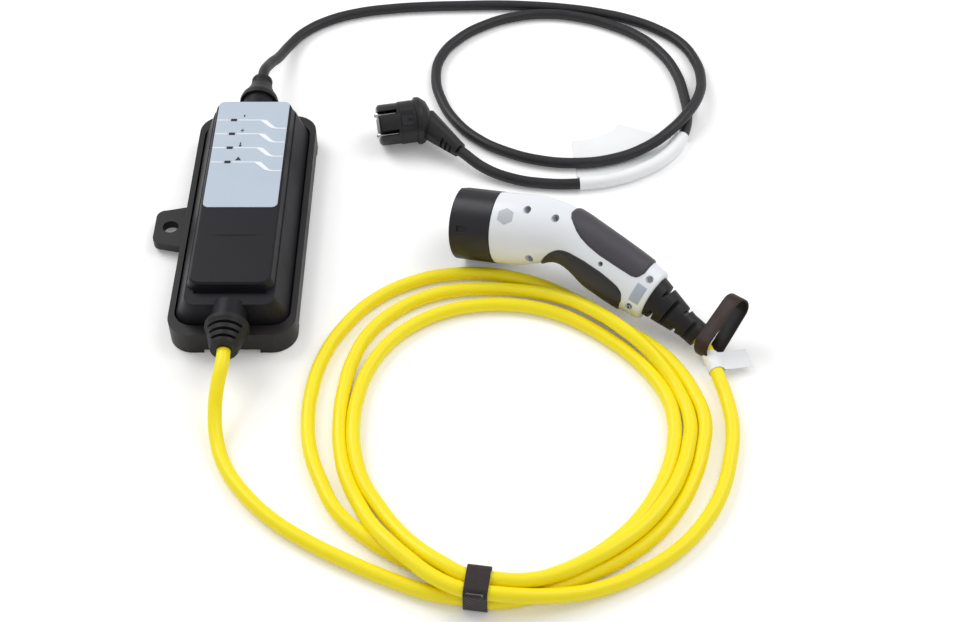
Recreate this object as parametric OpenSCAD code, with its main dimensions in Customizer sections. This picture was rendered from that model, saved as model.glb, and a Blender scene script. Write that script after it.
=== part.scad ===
// Portable EV charger: control box, mains lead with plug, coiled charging cable with vehicle connector.
// Units are mm. The frame stands on the floor below the box and its lug, Y towards the mains end.

/* [Control box] */
// Width of the tray
tray_w = 107; // [95:1:125]
// Length of the tray
tray_l = 272; // [250:1:300]
// Height of the tray's rim above the floor
rim_z = 22; // [18:1:28]
// Radius of the tray's upright corners
tray_r = 21; // [16:1:26]
// Height of the corner feet
foot_h = 4; // [2:0.5:6]
// Length of a corner foot along each side
foot_len = 30; // [20:1:40]
// Wall of the tray and of the cover
wall = 3; // [2:0.5:4]
// Gap between the rim and the cover
rim_gap = 1.5; // [1:0.25:2.5]
// Width of the rim beside the gap
rim_w = 5; // [4:0.5:7]
// Extra width of the rim at the two ends
rim_end = 6; // [4:0.5:9]

/* [Hanging lug] */
// Reach of the lug beyond the tray's left side
lug_reach = 28; // [24:1:34]
// Width of the lug where it leaves the tray
lug_base_w = 51; // [44:1:58]
// Width of the lug at its outer end
lug_tip_w = 41; // [36:1:44]
// Thickness of the lug
lug_t = 8; // [6:0.5:10]
// Diameter of the lug's hole
lug_hole_d = 14; // [10:0.5:16]

/* [Cover] */
// Height of the ledge at the charging end
ledge_z = 44; // [38:1:48]
// Height of the raised panel
top_z = 53; // [50:1:60]
// Width of the cover at the ledge's height
shoulder_w = 76; // [70:1:82]
// Width of the raised panel's top
panel_w = 68; // [66:1:74]
// Depth of the ledge in front of the raised panel
ledge_d = 14.5; // [9:0.5:18]
// Lean of the cover's ends between the rim and the ledge
end_lean = 1; // [0.5:0.5:5]
// Bevel along the cover's upper edges
edge_soft = 1.5; // [1:0.25:2]

/* [Front label and lights] */
// Width of the label
label_w = 64; // [56:1:66]
// Length of the label
label_l = 137; // [110:1:140]
// Thickness of the label
label_t = 0.5; // [0.3:0.1:1]
// Distance of the label from the panel's mains end
label_inset = 2.5; // [2:0.5:10]
// Width of an indicator light
light_w = 5.5; // [4:0.5:8]
// Height of an indicator light
light_h = 3.5; // [2.5:0.5:5]
// Distance between the lights
light_pitch = 18.5; // [14:0.5:22]
// Number of lights
light_n = 4; // [3:1:5]
// Distance of the lights from the label's left edge
light_inset = 15.5; // [10:0.5:20]

/* [Inside the box] */
// Width of the circuit board
board_w = 62; // [54:1:64]
// Length of the circuit board
board_l = 190; // [160:1:200]
// Thickness of the circuit board
board_t = 1.6; // [1.2:0.1:2.4]
// Height of the posts under the board
post_h = 5; // [4:0.5:7]
// Distance of the case screws from the middle line
screw_x = 39.5; // [38:0.25:40]
// Shank diameter of the case screws
screw_d = 3; // [2.5:0.5:3.5]

/* [Glands] */
// Height of the two glands' axis
gland_z = 34.5; // [33:0.5:38]
// Outer diameter of the cover's spigots
spigot_d = 30; // [24:1:33]
// Reach of the spigots beyond the tray's ends
spigot_reach = 1.5; // [1:0.5:4]
// Bore of the spigots
spigot_bore_d = 16; // [13:0.5:17]
// Base diameter of the charging end's strain relief
charge_gland_d = 37; // [32:1:40]
// Length of the charging end's strain relief
charge_gland_l = 26; // [22:1:40]
// Base diameter of the mains end's strain relief
mains_gland_d = 35.5; // [30:0.5:38]
// Length of the mains end's strain relief
mains_gland_l = 35; // [28:1:45]

/* [Cables] */
// Diameter of the charging cable
charge_d = 11.5; // [10:0.5:13]
// Diameter of the mains lead
mains_d = 10; // [8:0.5:11]
// Width of the tie on the coil
tie_w = 18; // [14:1:24]
// Thickness of the tie and of the strap
strap_t = 1.5; // [1:0.25:2.5]
// Width of the loose strap by the connector
strap_w = 14; // [12:1:20]
// Length of the loose strap's loop
strap_loop_l = 63; // [45:1:70]
// Height of the loose strap's loop
strap_loop_h = 24; // [18:1:28]
// Thickness of the cable labels
tag_t = 0.5; // [0.3:0.1:0.8]

/* [Vehicle connector] */
// Diameter of the nose
nose_d = 63; // [60:0.5:65]
// Distance of the nose's flat from its axis
nose_flat = 30; // [25:0.5:30.5]
// Length of the black nose in front of the housing
nose_l = 36; // [32:0.5:42]
// Wall of the nose
nose_wall = 3.5; // [3:0.25:4.5]
// Depth from the nose's mouth to the contact tubes
tube_recess = 9; // [8:0.5:12]
// Diameter of a power contact's tube
power_tube_d = 11; // [10:0.25:12]
// Diameter of a signal contact's tube
signal_tube_d = 8; // [7:0.25:9]
// Bore of a power contact
power_bore_d = 6; // [5:0.5:6.5]
// Bore of a signal contact
signal_bore_d = 3; // [2.5:0.25:3.5]
// Wall of a contact sleeve
sleeve_t = 1; // [0.75:0.25:1.25]
// Distance between the contacts of the middle row
contact_pitch = 16; // [15:0.25:17]
// Distance from the nose's mouth to where the handle bends
bend_u = 91; // [84:1:100]
// Angle of the handle from the nose's axis
bend_angle = 26; // [20:1:36]
// Radius of the bend
bend_r = 65; // [55:1:75]
// Distance from the bend to the handle's end
handle_l = 95.5; // [88:0.5:106]
// Wall of the housing
shell_t = 3; // [2.5:0.25:4]
// Height of the grips above the housing
grip_t = 0.8; // [0.6:0.1:1.2]
// Length of the bend relief
relief_l = 50; // [42:1:60]
// Base diameter of the bend relief
relief_d = 39; // [36:0.5:42]
// End diameter of the bend relief
relief_end_d = 22; // [18:0.5:26]
// Extra turn of the bend relief
relief_turn = 7; // [2:1:12]

/* [Mains plug] */
// Diameter of the plug's drum
drum_d = 44; // [42:0.5:46]
// Length of the plug's drum
drum_l = 20; // [17:0.5:24]
// Diameter of the pin guard
guard_d = 38; // [36:0.5:40]
// Diameter of a pin
pin_d = 4.8; // [4.5:0.1:5]
// Distance between the pins
pin_pitch = 19; // [18:0.25:20]
// Free length of a pin
pin_l = 19; // [17:0.5:21]
// End diameter of the plug's strain relief
plug_relief_d = 14; // [13:0.5:17]

/* [Hidden] */
$fn = 48;
eps = 0.01;
// Gap between pieces that only touch
touch_gap = 0.3;
// Gap between the faceted housing and the grips on it
grip_seat = 0.6;

// The box stands beside the origin by half the lug's reach, so that box and lug together are centred on it
box_x = lug_reach / 2;

// Tray and cover
floor_z = foot_h + wall + 0.5;
seat_z = rim_z - 8;
gasket_t = 2;
inner_w = tray_w - 2 * rim_w;
inner_l = tray_l - 2 * (rim_w + rim_end);
inner_r = tray_r - rim_w;
seat_step = 5;
cover_w = inner_w - 2 * rim_gap;
cover_l = inner_l - 2 * rim_gap;
cover_r = inner_r - rim_gap;
skirt_z = seat_z + gasket_t;
shoulder_l = cover_l - 2 * end_lean;
panel_near = -shoulder_l / 2 + ledge_d;
panel_far = shoulder_l / 2;
panel_lean = 0.5;
panel_step = 0.8;
corner_n = 6;
boss_d = 9;
boss_top = skirt_z + 14;
screw_y = [-105, 0, 105];
spigot_end = tray_l / 2 + spigot_reach;

// Label and lights
label_y = panel_far - panel_lean - label_inset - label_l / 2;
light_x = -label_w / 2 + light_inset;
light_y = [for (i = [0:light_n - 1]) label_y + label_l / 2 - 25 - i * light_pitch];

// Board
board_z = floor_z + post_h;
board_top = board_z + board_t;
post_x = board_w / 2 - 5;
post_y = board_l / 2 - 6;

// Cable routes: points along the middle of each cable, measured from the middle of the box
mains_route = [
    [0, tray_l / 2 + spigot_reach + mains_gland_l + touch_gap, gland_z], [0, 185, 34], [3, 206, 26.5],
    [9, 229, 16.5],
    [16, 255, 9], [29, 281, 5.5], [51, 300, 5], [81, 313, 5], [115, 320, 5], [150, 323.5, 5], [185, 325, 5],
    [220, 326, 5], [255, 324.5, 5], [290, 320.5, 5], [325, 313, 5], [356, 302, 5], [383, 286, 5],
    [404, 265, 5], [416, 237, 5.5], [419, 208, 8], [414, 177, 13], [402, 150, 15.6], [383, 126, 13],
    [358, 107.5, 8], [327, 94.5, 5.7], [294, 89.5, 5.5], [261, 93, 5.5], [230, 104.5, 5.5], [203, 123, 5],
    [182, 148, 5], [168, 179, 5], [162, 212, 5], [167, 245, 5], [184, 272, 5], [209, 293, 5], [240, 307, 5],
    [273, 311.5, 5], [306, 306, 5], [337, 293, 5], [364, 274, 5], [384, 248, 5], [396, 218, 5], [401, 186, 5],
    [402, 157, 5], [395, 126, 5.5], [380, 100, 5.5], [356, 80.5, 5.5], [327, 67.5, 5.5], [296, 62, 5.5],
    [262, 63, 5], [234, 68.5, 6], [210, 78.5, 9], [187, 97, 14]];
charge_lead_route = [
    [0, -(tray_l / 2 + spigot_reach + charge_gland_l + touch_gap), gland_z], [0, -175, 34], [-3, -194, 26],
    [-4, -213, 15.5], [-1, -234, 8], [8, -258, 5.8], [24, -282, 5.8], [47, -306, 5.8], [76, -327, 5.8],
    [108, -345, 5.8], [141, -361, 5.8], [171, -373, 6.5]];
charge_tail_route = [
    [233, -382, 17.5], [262, -379, 12.5], [294, -370.5, 7.5], [325, -356, 5.8], [353, -337, 5.8],
    [376, -312, 5.8], [393, -282, 5.8], [403, -249, 5.8], [407.5, -219, 5.8], [408, -197, 6],
    [406.5, -178, 6.8], [404, -163, 8], [401, -151.5, 9.2], [397.5, -142.5, 10.2], [394.5, -136, 11]];

// Coil: a ring that narrows towards its tie and lies against the handle
coil_c = [228, -212];
coil_r = 163;
coil_bore_c = [232, -229];
coil_bore_r = 134;
coil_upper_c = [230, -225];
coil_upper_r = 150;
coil_flat = 147;
coil_flat_angle = 47.5;
tie_angle = -8;
bundle_in = 150;
bundle_out = bundle_in + 2 * charge_d + 2;
bundle_h = 2 * charge_d;
lead_in_tie = [bundle_in + 1.65 * charge_d, strap_t + charge_d / 2];
tail_in_tie = [bundle_in + 1.65 * charge_d, strap_t + charge_d * 1.5];
tie_face = tie_w / 2 + 2 * touch_gap;
strap_seat = 12;
strap_lift = 78;

// Connector: its own axis runs from the nose's mouth into the housing, with the flat of the nose towards +Y
conn_at = [190.3, -13.7, nose_d / 2 - 0.1];
conn_yaw = -19;
conn_pitch = 9;
conn_roll = 50;
bend_start = bend_u - bend_r * tan(bend_angle / 2);
bend_arc = bend_r * bend_angle * PI / 180;
handle_end = bend_start + bend_arc + handle_l - bend_r * tan(bend_angle / 2);
carrier_t = 8;
tube_front = tube_recess;
carrier_front = nose_l - 12;
spigot_l = 12;
nose_spigot_r = nose_flat - shell_t - 0.5;
power_at = [[0, -contact_pitch], [0, 0], [0, contact_pitch],
            [-contact_pitch * 0.87, -contact_pitch / 2], [-contact_pitch * 0.87, contact_pitch / 2]];
signal_at = [[contact_pitch * 0.78, -contact_pitch * 0.42], [contact_pitch * 0.78, contact_pitch * 0.42]];
housing_n = 28;
housing_m = 16;
housing_s = [for (k = [0:housing_m]) nose_l + (handle_end - nose_l) * k / housing_m];
cavity_s = [for (k = [0:housing_m]) nose_l - 1 + (handle_end - shell_t - nose_l + 1) * k / housing_m];

// Reach of the housing's outer side from its axis, in the plane of the bend
half_v = [[0, 31.5], [56, 32], [77, 30.5], [90, 28], [106, 27.3], [132, 26.7], [152, 26], [170, 25],
          [186, 22.5]];
// Reach of its inner side, hollowed for the fingers
half_in = [[0, 31.5], [50, 31], [62, 29.5], [74, 26.8], [88, 22.5], [100, 20.3], [112, 20.3], [122, 23],
           [130, 25], [156, 25.3], [172, 24.5], [186, 23]];
// Half height of the housing across that plane
half_w = [[0, 31.5], [55, 31], [80, 28.5], [95, 25.5], [112, 23], [140, 20.8], [170, 19.6], [190, 19]];
// Distance of the flat from the axis, which runs out in the bend
flat_v = [[0, 30], [50, 30.3], [75, 31], [88, 40]];

// Plug: its own axis points along the pins
plug_at = [150, 130, drum_d / 2];
plug_turn = 191;
pin_tilt = -43;
guard_l = pin_l + 1;
flange_t = 4;
body_r = guard_d / 2 + 0.75;

// Everything is laid out from the middle of the box
module at_box() {
    translate([box_x, 0, 0]) children();
}

// Flat shapes

module rounded_rect(w, l, r) {
    square([w - 2 * r, l], center = true);
    square([w, l - 2 * r], center = true);
    for (x = [-1, 1], y = [-1, 1])
        translate([x * (w / 2 - r), y * (l / 2 - r)]) circle(r);
}

// Outline round two circles and their common tangents, the second one d to the right of the first
module teardrop(r1, r2, d) {
    a = acos((r1 - r2) / d);
    n = 24;
    polygon(concat([for (k = [0:n]) let (b = a + (360 - 2 * a) * k / n) [r1 * cos(b), r1 * sin(b)]],
                   [for (k = [0:n]) let (b = -a + 2 * a * k / n) [d + r2 * cos(b), r2 * sin(b)]]));
}

// Sweeps

function unit(v) = v / norm(v);
function heading(pts, i) = unit(pts[min(i + 1, len(pts) - 1)] - pts[max(i - 1, 0)]);
function ring(p, t, r, n) =
    let (a = unit(cross(t, [0, 0, 1])), b = cross(a, t))
    [for (k = [0:n - 1]) p + r * (cos(360 * k / n) * a + sin(360 * k / n) * b)];

// Side triangles of a skin over m rings of n points, and its end caps, fanned from a quarter of the way round
function skin_faces(m, n) = let (q = floor(n / 4)) concat(
    [for (i = [0:m - 2], k = [0:n - 1]) [i * n + k, i * n + (k + 1) % n, (i + 1) * n + k]],
    [for (i = [0:m - 2], k = [0:n - 1]) [i * n + (k + 1) % n, (i + 1) * n + (k + 1) % n, (i + 1) * n + k]],
    [for (j = [1:n - 2]) [q, (q + j + 1) % n, (q + j) % n]],
    [for (j = [1:n - 2]) [(m - 1) * n + q, (m - 1) * n + (q + j) % n, (m - 1) * n + (q + j + 1) % n]]);

module tube(pts, d, n = 10) {
    rings = [for (i = [0:len(pts) - 1]) each ring(pts[i], heading(pts, i), d / 2, n)];
    polyhedron(points = rings, faces = skin_faces(len(pts), n), convexity = 10);
}

// Control box

module base_tray() {
    color("#3a383c") difference() {
        union() {
            translate([0, 0, foot_h]) linear_extrude(rim_z - foot_h) rounded_rect(tray_w, tray_l, tray_r);
            linear_extrude(foot_h) intersection() {
                rounded_rect(tray_w, tray_l, tray_r);
                for (x = [-1, 1], y = [-1, 1])
                    translate([x * (tray_w - foot_len) / 2, y * (tray_l - foot_len) / 2])
                        square(foot_len, center = true);
            }
            translate([0, 0, foot_h]) linear_extrude(lug_t) lug_outline();
        }
        translate([0, 0, seat_z]) linear_extrude(rim_z) rounded_rect(inner_w, inner_l, inner_r);
        difference() {
            translate([0, 0, floor_z]) linear_extrude(rim_z)
                rounded_rect(inner_w - 2 * seat_step, inner_l - 2 * seat_step, inner_r - seat_step);
            for (x = [-screw_x, screw_x], y = screw_y) translate([x, y, 0]) cylinder(d = boss_d, h = skirt_z);
            for (x = [-post_x, post_x], y = [-post_y, post_y])
                translate([x, y, 0]) cylinder(d = 7, h = board_z);
        }
        for (x = [-screw_x, screw_x], y = screw_y) translate([x, y, 0]) {
            cylinder(d = screw_d + 0.4, h = rim_z + 1);
            cylinder(d = 2 * screw_d + 0.6, h = foot_h + 2);
        }
        translate([lug_hole_x(), 0, 0]) cylinder(d = lug_hole_d, h = rim_z);
    }
}

function lug_hole_x() = -tray_w / 2 - lug_reach / 2;

module lug_outline() {
    tip_r = 8;
    tip_x = -tray_w / 2 - lug_reach + tip_r;
    polygon([[-tray_w / 2 + 2, lug_base_w / 2], [tip_x, lug_tip_w / 2],
             [tip_x, -lug_tip_w / 2], [-tray_w / 2 + 2, -lug_base_w / 2]]);
    translate([tip_x - tip_r, -lug_tip_w / 2 + tip_r]) square([tip_r, lug_tip_w - 2 * tip_r]);
    for (y = [-1, 1]) translate([tip_x, y * (lug_tip_w / 2 - tip_r)]) circle(tip_r);
}

module cover_gasket() {
    color("#1d1d1f") translate([0, 0, seat_z]) linear_extrude(gasket_t) difference() {
        rounded_rect(inner_w - 0.6, inner_l - 0.6, inner_r - 0.3);
        rounded_rect(cover_w - 2 * wall, cover_l - 2 * wall, cover_r - wall);
    }
}

// Rounded rectangle of width w between two Y positions, as a ring at height z, moved in by t
function rect_ring(w, y0, y1, r, z, t) = [
    for (c = [0:3], j = [0:corner_n])
        let (a = 90 - 90 * c - 90 * j / corner_n, e = max(r - t, 0.5),
             x = (c < 2 ? 1 : -1) * (w / 2 - t - e), y = c == 0 || c == 3 ? y1 - t - e : y0 + t + e)
        [x + e * cos(a), y + e * sin(a), z]];

// Solid of the cover, drawn in by t all round: skirt, leaning sides, ledge and raised panel
module cover_form(t) {
    near = panel_near + panel_step;
    far = panel_far - panel_step;
    rings = [
        rect_ring(cover_w, -cover_l / 2, cover_l / 2, cover_r, skirt_z - (t > 0 ? 1 : 0), t),
        rect_ring(cover_w, -cover_l / 2, cover_l / 2, cover_r, rim_z, t),
        rect_ring(shoulder_w, -shoulder_l / 2, shoulder_l / 2, 10, ledge_z - edge_soft - t, t),
        rect_ring(shoulder_w, -shoulder_l / 2, shoulder_l / 2, 10, ledge_z - t, t + edge_soft / 2),
        rect_ring(shoulder_w - 2 * panel_step, near, far, 9, ledge_z - t, t + edge_soft / 2),
        rect_ring(panel_w, near + 1, far - panel_lean, 9, top_z - edge_soft - t, t),
        rect_ring(panel_w, near + 1, far - panel_lean, 9, top_z - t, t + edge_soft)];
    polyhedron(points = [for (r = rings) each r],
               faces = skin_faces(len(rings), 4 * (corner_n + 1)), convexity = 8);
}

module top_cover() {
    color("#3b3a3e") difference() {
        union() {
            difference() {
                cover_form(0);
                difference() {
                    cover_form(wall);
                    for (x = [-screw_x, screw_x], y = screw_y)
                        translate([x, y, 0]) cylinder(d = boss_d + 1, h = boss_top);
                }
            }
            for (end = [-1, 1]) spigot(end) cylinder(d = spigot_d, h = spigot_end - shoulder_l / 2 + 4);
        }
        for (x = [-screw_x, screw_x], y = screw_y)
            translate([x, y, 0]) cylinder(d = screw_d, h = boss_top - 2);
        for (end = [-1, 1]) spigot(end) translate([0, 0, -8]) cylinder(d = spigot_bore_d, h = spigot_end);
        for (y = light_y) translate([light_x, y, top_z]) cube([light_w, light_h, 20], center = true);
        // The spigots clear the tray's rim
        for (end = [-1, 1]) translate([0, end * (cover_l / 2 + 20), rim_z - 10 + touch_gap])
            cube([2 * spigot_d, 40, 20], center = true);
        // Shadow gap along the foot of the raised panel's front
        translate([-panel_w / 2 + 4, panel_near - 2, ledge_z - 1.5]) cube([panel_w - 8, 3, 4]);
        // Shallow finger scoop across the panel
        translate([0, -52, top_z + 650 - 0.4]) rotate([90, 0, 0])
            cylinder(r = 650, h = 3, center = true, $fn = 200);
    }
}

// Places a piece on a gland's axis, its Z pointing out of the box, from just inside the cover's end wall
module spigot(end) {
    translate([0, end * (shoulder_l / 2 - 4), gland_z]) rotate([-90 * end, 0, 0]) children();
}

module front_label() {
    color("#c3cedd") translate([0, label_y, top_z]) linear_extrude(label_t) difference() {
        rounded_rect(label_w, label_l, 5);
        for (y = light_y) translate([light_x, y - label_y]) square([light_w, light_h], center = true);
    }
}

module light_guides() {
    color("#16181c") for (y = light_y)
        translate([light_x - light_w / 2, y - light_h / 2, board_top + 2])
            cube([light_w, light_h, top_z + label_t - board_top - 2]);
}

module status_leds() {
    color("#d8dcc8") for (y = light_y) translate([light_x - 1.75, y - 1.75, board_top]) cube([3.5, 3.5, 2]);
}

module circuit_board() {
    color("#2f6b46") translate([0, 0, board_z]) linear_extrude(board_t) rounded_rect(board_w, board_l, 3);
}

module power_relays() {
    color("#20242c") for (y = [-36, -4]) translate([-2, y, board_top]) difference() {
        translate([0, 0, 11]) cube([26, 29, 22], center = true);
        for (x = [-13, 13]) translate([x, 0, 11]) cylinder(d = 3, h = 30, center = true);
    }
}

// Ring-shaped current transformer standing on its base
module current_sensor() {
    color("#7a3f28") translate([12, 61, board_top]) {
        translate([0, 0, 14]) rotate([0, 90, 0])
            rotate_extrude() translate([9.5, 0]) square([7, 12], center = true);
        difference() {
            translate([0, 0, 3]) cube([10, 20, 6], center = true);
            translate([0, 0, 14]) rotate([0, 90, 0]) cylinder(r = 9.5, h = 30, center = true);
        }
    }
}

module supply_transformer() {
    color("#c9a23a") translate([14, 28, board_top]) {
        translate([-11, -9, 0]) cube([22, 18, 4]);
        translate([-8, -9, 4]) cube([16, 18, 10]);
        translate([-11, -9, 14]) cube([22, 18, 4]);
    }
}

module filter_capacitors() {
    color("#26304f") for (x = [-18, -4, 10]) translate([x, -66, board_top]) {
        cylinder(d = 11, h = 17);
        translate([0, 0, 17]) cylinder(d1 = 11, d2 = 9.6, h = 0.8);
    }
}

module terminal_block() {
    difference() {
        translate([-18, -6, 0]) cube([36, 12, 13]);
        for (x = [-12, 0, 12]) translate([x, 0, 4]) cylinder(d = 5, h = 20);
    }
}

module mains_terminals() {
    color("#35543c") translate([7, post_y - 6, board_top]) terminal_block();
}

module charge_terminals() {
    color("#35543c") translate([0, -post_y + 6, board_top]) terminal_block();
}

module case_screws() {
    color("#b9bcc2") for (x = [-screw_x, screw_x], y = screw_y) translate([x, y, 0]) {
        translate([0, 0, foot_h + 0.2]) cylinder(d = 2 * screw_d, h = 1.8);
        translate([0, 0, foot_h + 1]) cylinder(d = screw_d, h = boss_top - foot_h - 4);
    }
}

// Glands: a plug in the spigot's bore and the tapered relief outside

module charge_gland() {
    base_r = charge_gland_d / 2;
    tip_r = charge_d;
    color("#28272a") translate([0, -spigot_end, gland_z]) rotate([90, 0, 0]) difference() {
        union() {
            rotate_extrude() polygon([[0, 0], [base_r, 0], [base_r, 3], [base_r - 1.5, 6],
                                      [tip_r + 0.5, charge_gland_l - 2], [tip_r - 0.5, charge_gland_l],
                                      [0, charge_gland_l]]);
            translate([0, 0, -22]) cylinder(d = spigot_bore_d, h = 22);
        }
        // Three slots a side leave two rails
        for (i = [0:2], side = [-1, 1])
            translate([-base_r, side > 0 ? 8 : -8 - base_r, 7 + i * 6]) cube([2 * base_r, base_r, 2.4]);
    }
}

module mains_gland() {
    base_r = mains_gland_d / 2;
    color("#28272a") translate([0, spigot_end, gland_z]) rotate([-90, 0, 0]) {
        rotate_extrude() polygon([[0, 0], [base_r, 0], [base_r, 4], [base_r - 1.2, 8], [base_r - 4, 13],
                                  [mains_d + 2, 18], [mains_d, 23], [mains_d, 26], [mains_d - 1.2, 26.6],
                                  [mains_d - 1.2, 29], [mains_d - 0.4, 29.6],
                                  [mains_d - 0.4, mains_gland_l - 1.5], [mains_d - 2, mains_gland_l],
                                  [0, mains_gland_l]]);
        translate([0, 0, -22]) cylinder(d = spigot_bore_d, h = 22);
    }
}

// Cables

module mains_lead() {
    color("#2e2c30") tube(mains_route, mains_d);
}

// Point of the coil's tie frame: out from the coil's middle, along its run, height
function in_tie(out, along, z) = [
    coil_c[0] + out * sin(tie_angle) + along * cos(tie_angle),
    coil_c[1] - out * cos(tie_angle) + along * sin(tie_angle), z];

module charge_lead() {
    color("#f5e014")
        tube(concat(charge_lead_route, [in_tie(lead_in_tie[0], -tie_face, lead_in_tie[1])]), charge_d);
}

module charge_tail() {
    tip = relief_tip(2 * touch_gap);
    near = relief_tip(4);
    color("#f5e014") tube(concat([in_tie(tail_in_tie[0], tie_face, tail_in_tie[1])], charge_tail_route,
                                 [conn_point(near[0], near[1], 0), conn_point(tip[0], tip[1], 0)]), charge_d);
}

// Block of the tie, t outside the bundle of strands that it holds
module tie_block(t) {
    translate([coil_c[0], coil_c[1], 0]) rotate(tie_angle) translate([0, -(bundle_in + bundle_out) / 2, 0])
        rotate([90, 0, 90]) linear_extrude(tie_w, center = true)
            translate([0, strap_t + bundle_h / 2])
                rounded_rect(bundle_out - bundle_in + 2 * t, bundle_h + 2 * t, 4 + t);
}

module coil_tie() {
    color("#2b2020") {
        difference() {
            tie_block(strap_t);
            tie_block(0);
        }
        // Free end of the tie
        translate([coil_c[0], coil_c[1], 0]) rotate(tie_angle)
            translate([-tie_w / 2 + 3, -bundle_out - strap_t, bundle_h + strap_t])
                rotate([35, 0, 0]) translate([0, 0, -2]) cube([tie_w - 6, strap_t, 17]);
    }
}

module charge_coil() {
    color("#f5e014") difference() {
        union() {
            linear_extrude(charge_d) intersection() {
                translate(coil_c) circle(coil_r, $fn = 120);
                translate(coil_c) rotate(coil_flat_angle) translate([coil_flat - 2 * coil_r, -coil_r])
                    square(2 * coil_r);
            }
            linear_extrude(bundle_h) translate(coil_upper_c) circle(coil_upper_r, $fn = 120);
            tie_block(0);
        }
        linear_extrude(3 * bundle_h) difference() {
            translate(coil_bore_c) circle(coil_bore_r, $fn = 120);
            translate(coil_c) rotate(tie_angle) translate([-tie_w / 2, -bundle_out])
                square([tie_w, bundle_out - bundle_in]);
        }
        // Room for the tie
        difference() {
            tie_block(strap_t);
            tie_block(0);
        }
    }
}

// Strap: a loop of band round the end of the bend relief, which stands up from it
module cable_strap() {
    tip = relief_tip(-strap_seat);
    color("#3a2a28") at_connector() translate([tip[0], tip[1], 0])
        rotate([0, 0, -bend_angle - relief_turn]) rotate([0, 90, 0])
            linear_extrude(strap_w) rotate(strap_lift) difference() {
                teardrop_loop(0);
                teardrop_loop(strap_t);
            }
}

module teardrop_loop(t) {
    r2 = strap_loop_h / 2;
    r1 = relief_end_d / 2 + touch_gap + strap_t;
    teardrop(r1 - t, r2 - t, strap_loop_l - r1 - r2);
}

module cable_label() {
    from = charge_tail_route[10];
    run = charge_tail_route[12] - from;
    color("#f0f2f4") difference() {
        union() {
            tube([from, from + 0.8 * run], charge_d + 2 * tag_t);
            // Flag beside the cable, level with it
            translate(from) rotate([0, -asin(run[2] / norm(run)), atan2(run[1], run[0])])
                translate([0, -27, -tag_t / 2]) cube([0.8 * norm(run), 27, tag_t]);
        }
        charge_tail();
    }
}

module mains_label() {
    n = len(mains_route);
    route = [for (i = [n - 9:n - 6]) mains_route[i]];
    color("#f0f2f4") difference() {
        union() {
            tube(route, mains_d + 2 * tag_t);
            linear_extrude(tag_t) polygon(concat([for (p = route) [p[0], p[1]]],
                [for (i = [len(route) - 1:-1:0]) [route[i][0] - 22, route[i][1] + 34]]));
        }
        mains_lead();
    }
}

// Vehicle connector

module at_connector() {
    translate(conn_at) rotate([0, -conn_pitch, conn_yaw]) rotate([conn_roll, 0, 0]) children();
}

// Point of the connector's own frame, seen from the box
function conn_point(u, v, w) =
    let (y = v * cos(conn_roll) - w * sin(conn_roll), z = v * sin(conn_roll) + w * cos(conn_roll),
         x = u * cos(conn_pitch) - z * sin(conn_pitch))
    conn_at + [x * cos(conn_yaw) - y * sin(conn_yaw), x * sin(conn_yaw) + y * cos(conn_yaw),
               u * sin(conn_pitch) + z * cos(conn_pitch)];

// Turn of the housing's axis at a distance along it, and the point there
function axis_turn(s) = min(max(s - bend_start, 0) / bend_r * 180 / PI, bend_angle);
function axis_point(s) =
    let (a = axis_turn(s), past = max(s - bend_start - bend_arc, 0))
    [min(s, bend_start) + bend_r * sin(a) + past * cos(a), -bend_r * (1 - cos(a)) - past * sin(a)];

// Point of the housing's surface at s, at an angle round its axis from the flat's side, moved out by t
function housing_point(s, angle, t) =
    let (p = axis_point(s), a = axis_turn(s),
         reach = lookup(s, cos(angle) > 0 ? half_v : half_in) + t,
         v = min(reach * cos(angle), lookup(s, flat_v) + t),
         w = (lookup(s, half_w) + t) * sin(angle))
    [p[0] + v * sin(a), p[1] + v * cos(a), w];

function housing_ring(s, t) = [for (k = [0:housing_n - 1]) housing_point(s, -360 * (k + 0.5) / housing_n, t)];

module housing_form(t, stations = housing_s) {
    polyhedron(points = [for (s = stations) each housing_ring(s, t)],
               faces = skin_faces(len(stations), housing_n), convexity = 6);
}

// Places of the six housing screws: along the axis, off it in the plane of the bend
screw_at = [[66, 19], [70, -22], [88, 16], [137, 2], [178, 13], [175, -16]];
function screw_uv(i) =
    let (s = screw_at[i][0], a = axis_turn(s), p = axis_point(s))
    [p[0] + screw_at[i][1] * sin(a), p[1] + screw_at[i][1] * cos(a)];

// Hollow half of the housing, whose posts carry the screws; side is 1 or -1
module housing_half(side) {
    difference() {
        intersection() {
            housing_form(0);
            translate([100, -40, side * 50]) cube([300, 200, 100], center = true);
        }
        difference() {
            housing_form(-shell_t, cavity_s);
            for (i = [0:len(screw_at) - 1])
                translate([screw_uv(i)[0], screw_uv(i)[1], -40]) cylinder(d = 9, h = 80);
        }
        for (i = [0:len(screw_at) - 1]) translate([screw_uv(i)[0], screw_uv(i)[1], 0]) {
            translate([0, 0, -10]) cylinder(d = 3, h = 30);
            translate([0, 0, 8]) cylinder(d = 6.5, h = 40);
        }
    }
}

module housing_top() {
    color("#f2f4f7") at_connector() housing_half(1);
}

module housing_base() {
    color("#f2f4f7") at_connector() housing_half(-1);
}

module housing_screws() {
    color("#b9bcc2") at_connector() for (i = [0:len(screw_at) - 1])
        translate([screw_uv(i)[0], screw_uv(i)[1], 0]) {
            translate([0, 0, 8]) cylinder(d = 5.5, h = 3);
            translate([0, 0, -10]) cylinder(d = 3, h = 19);
        }
}

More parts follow.
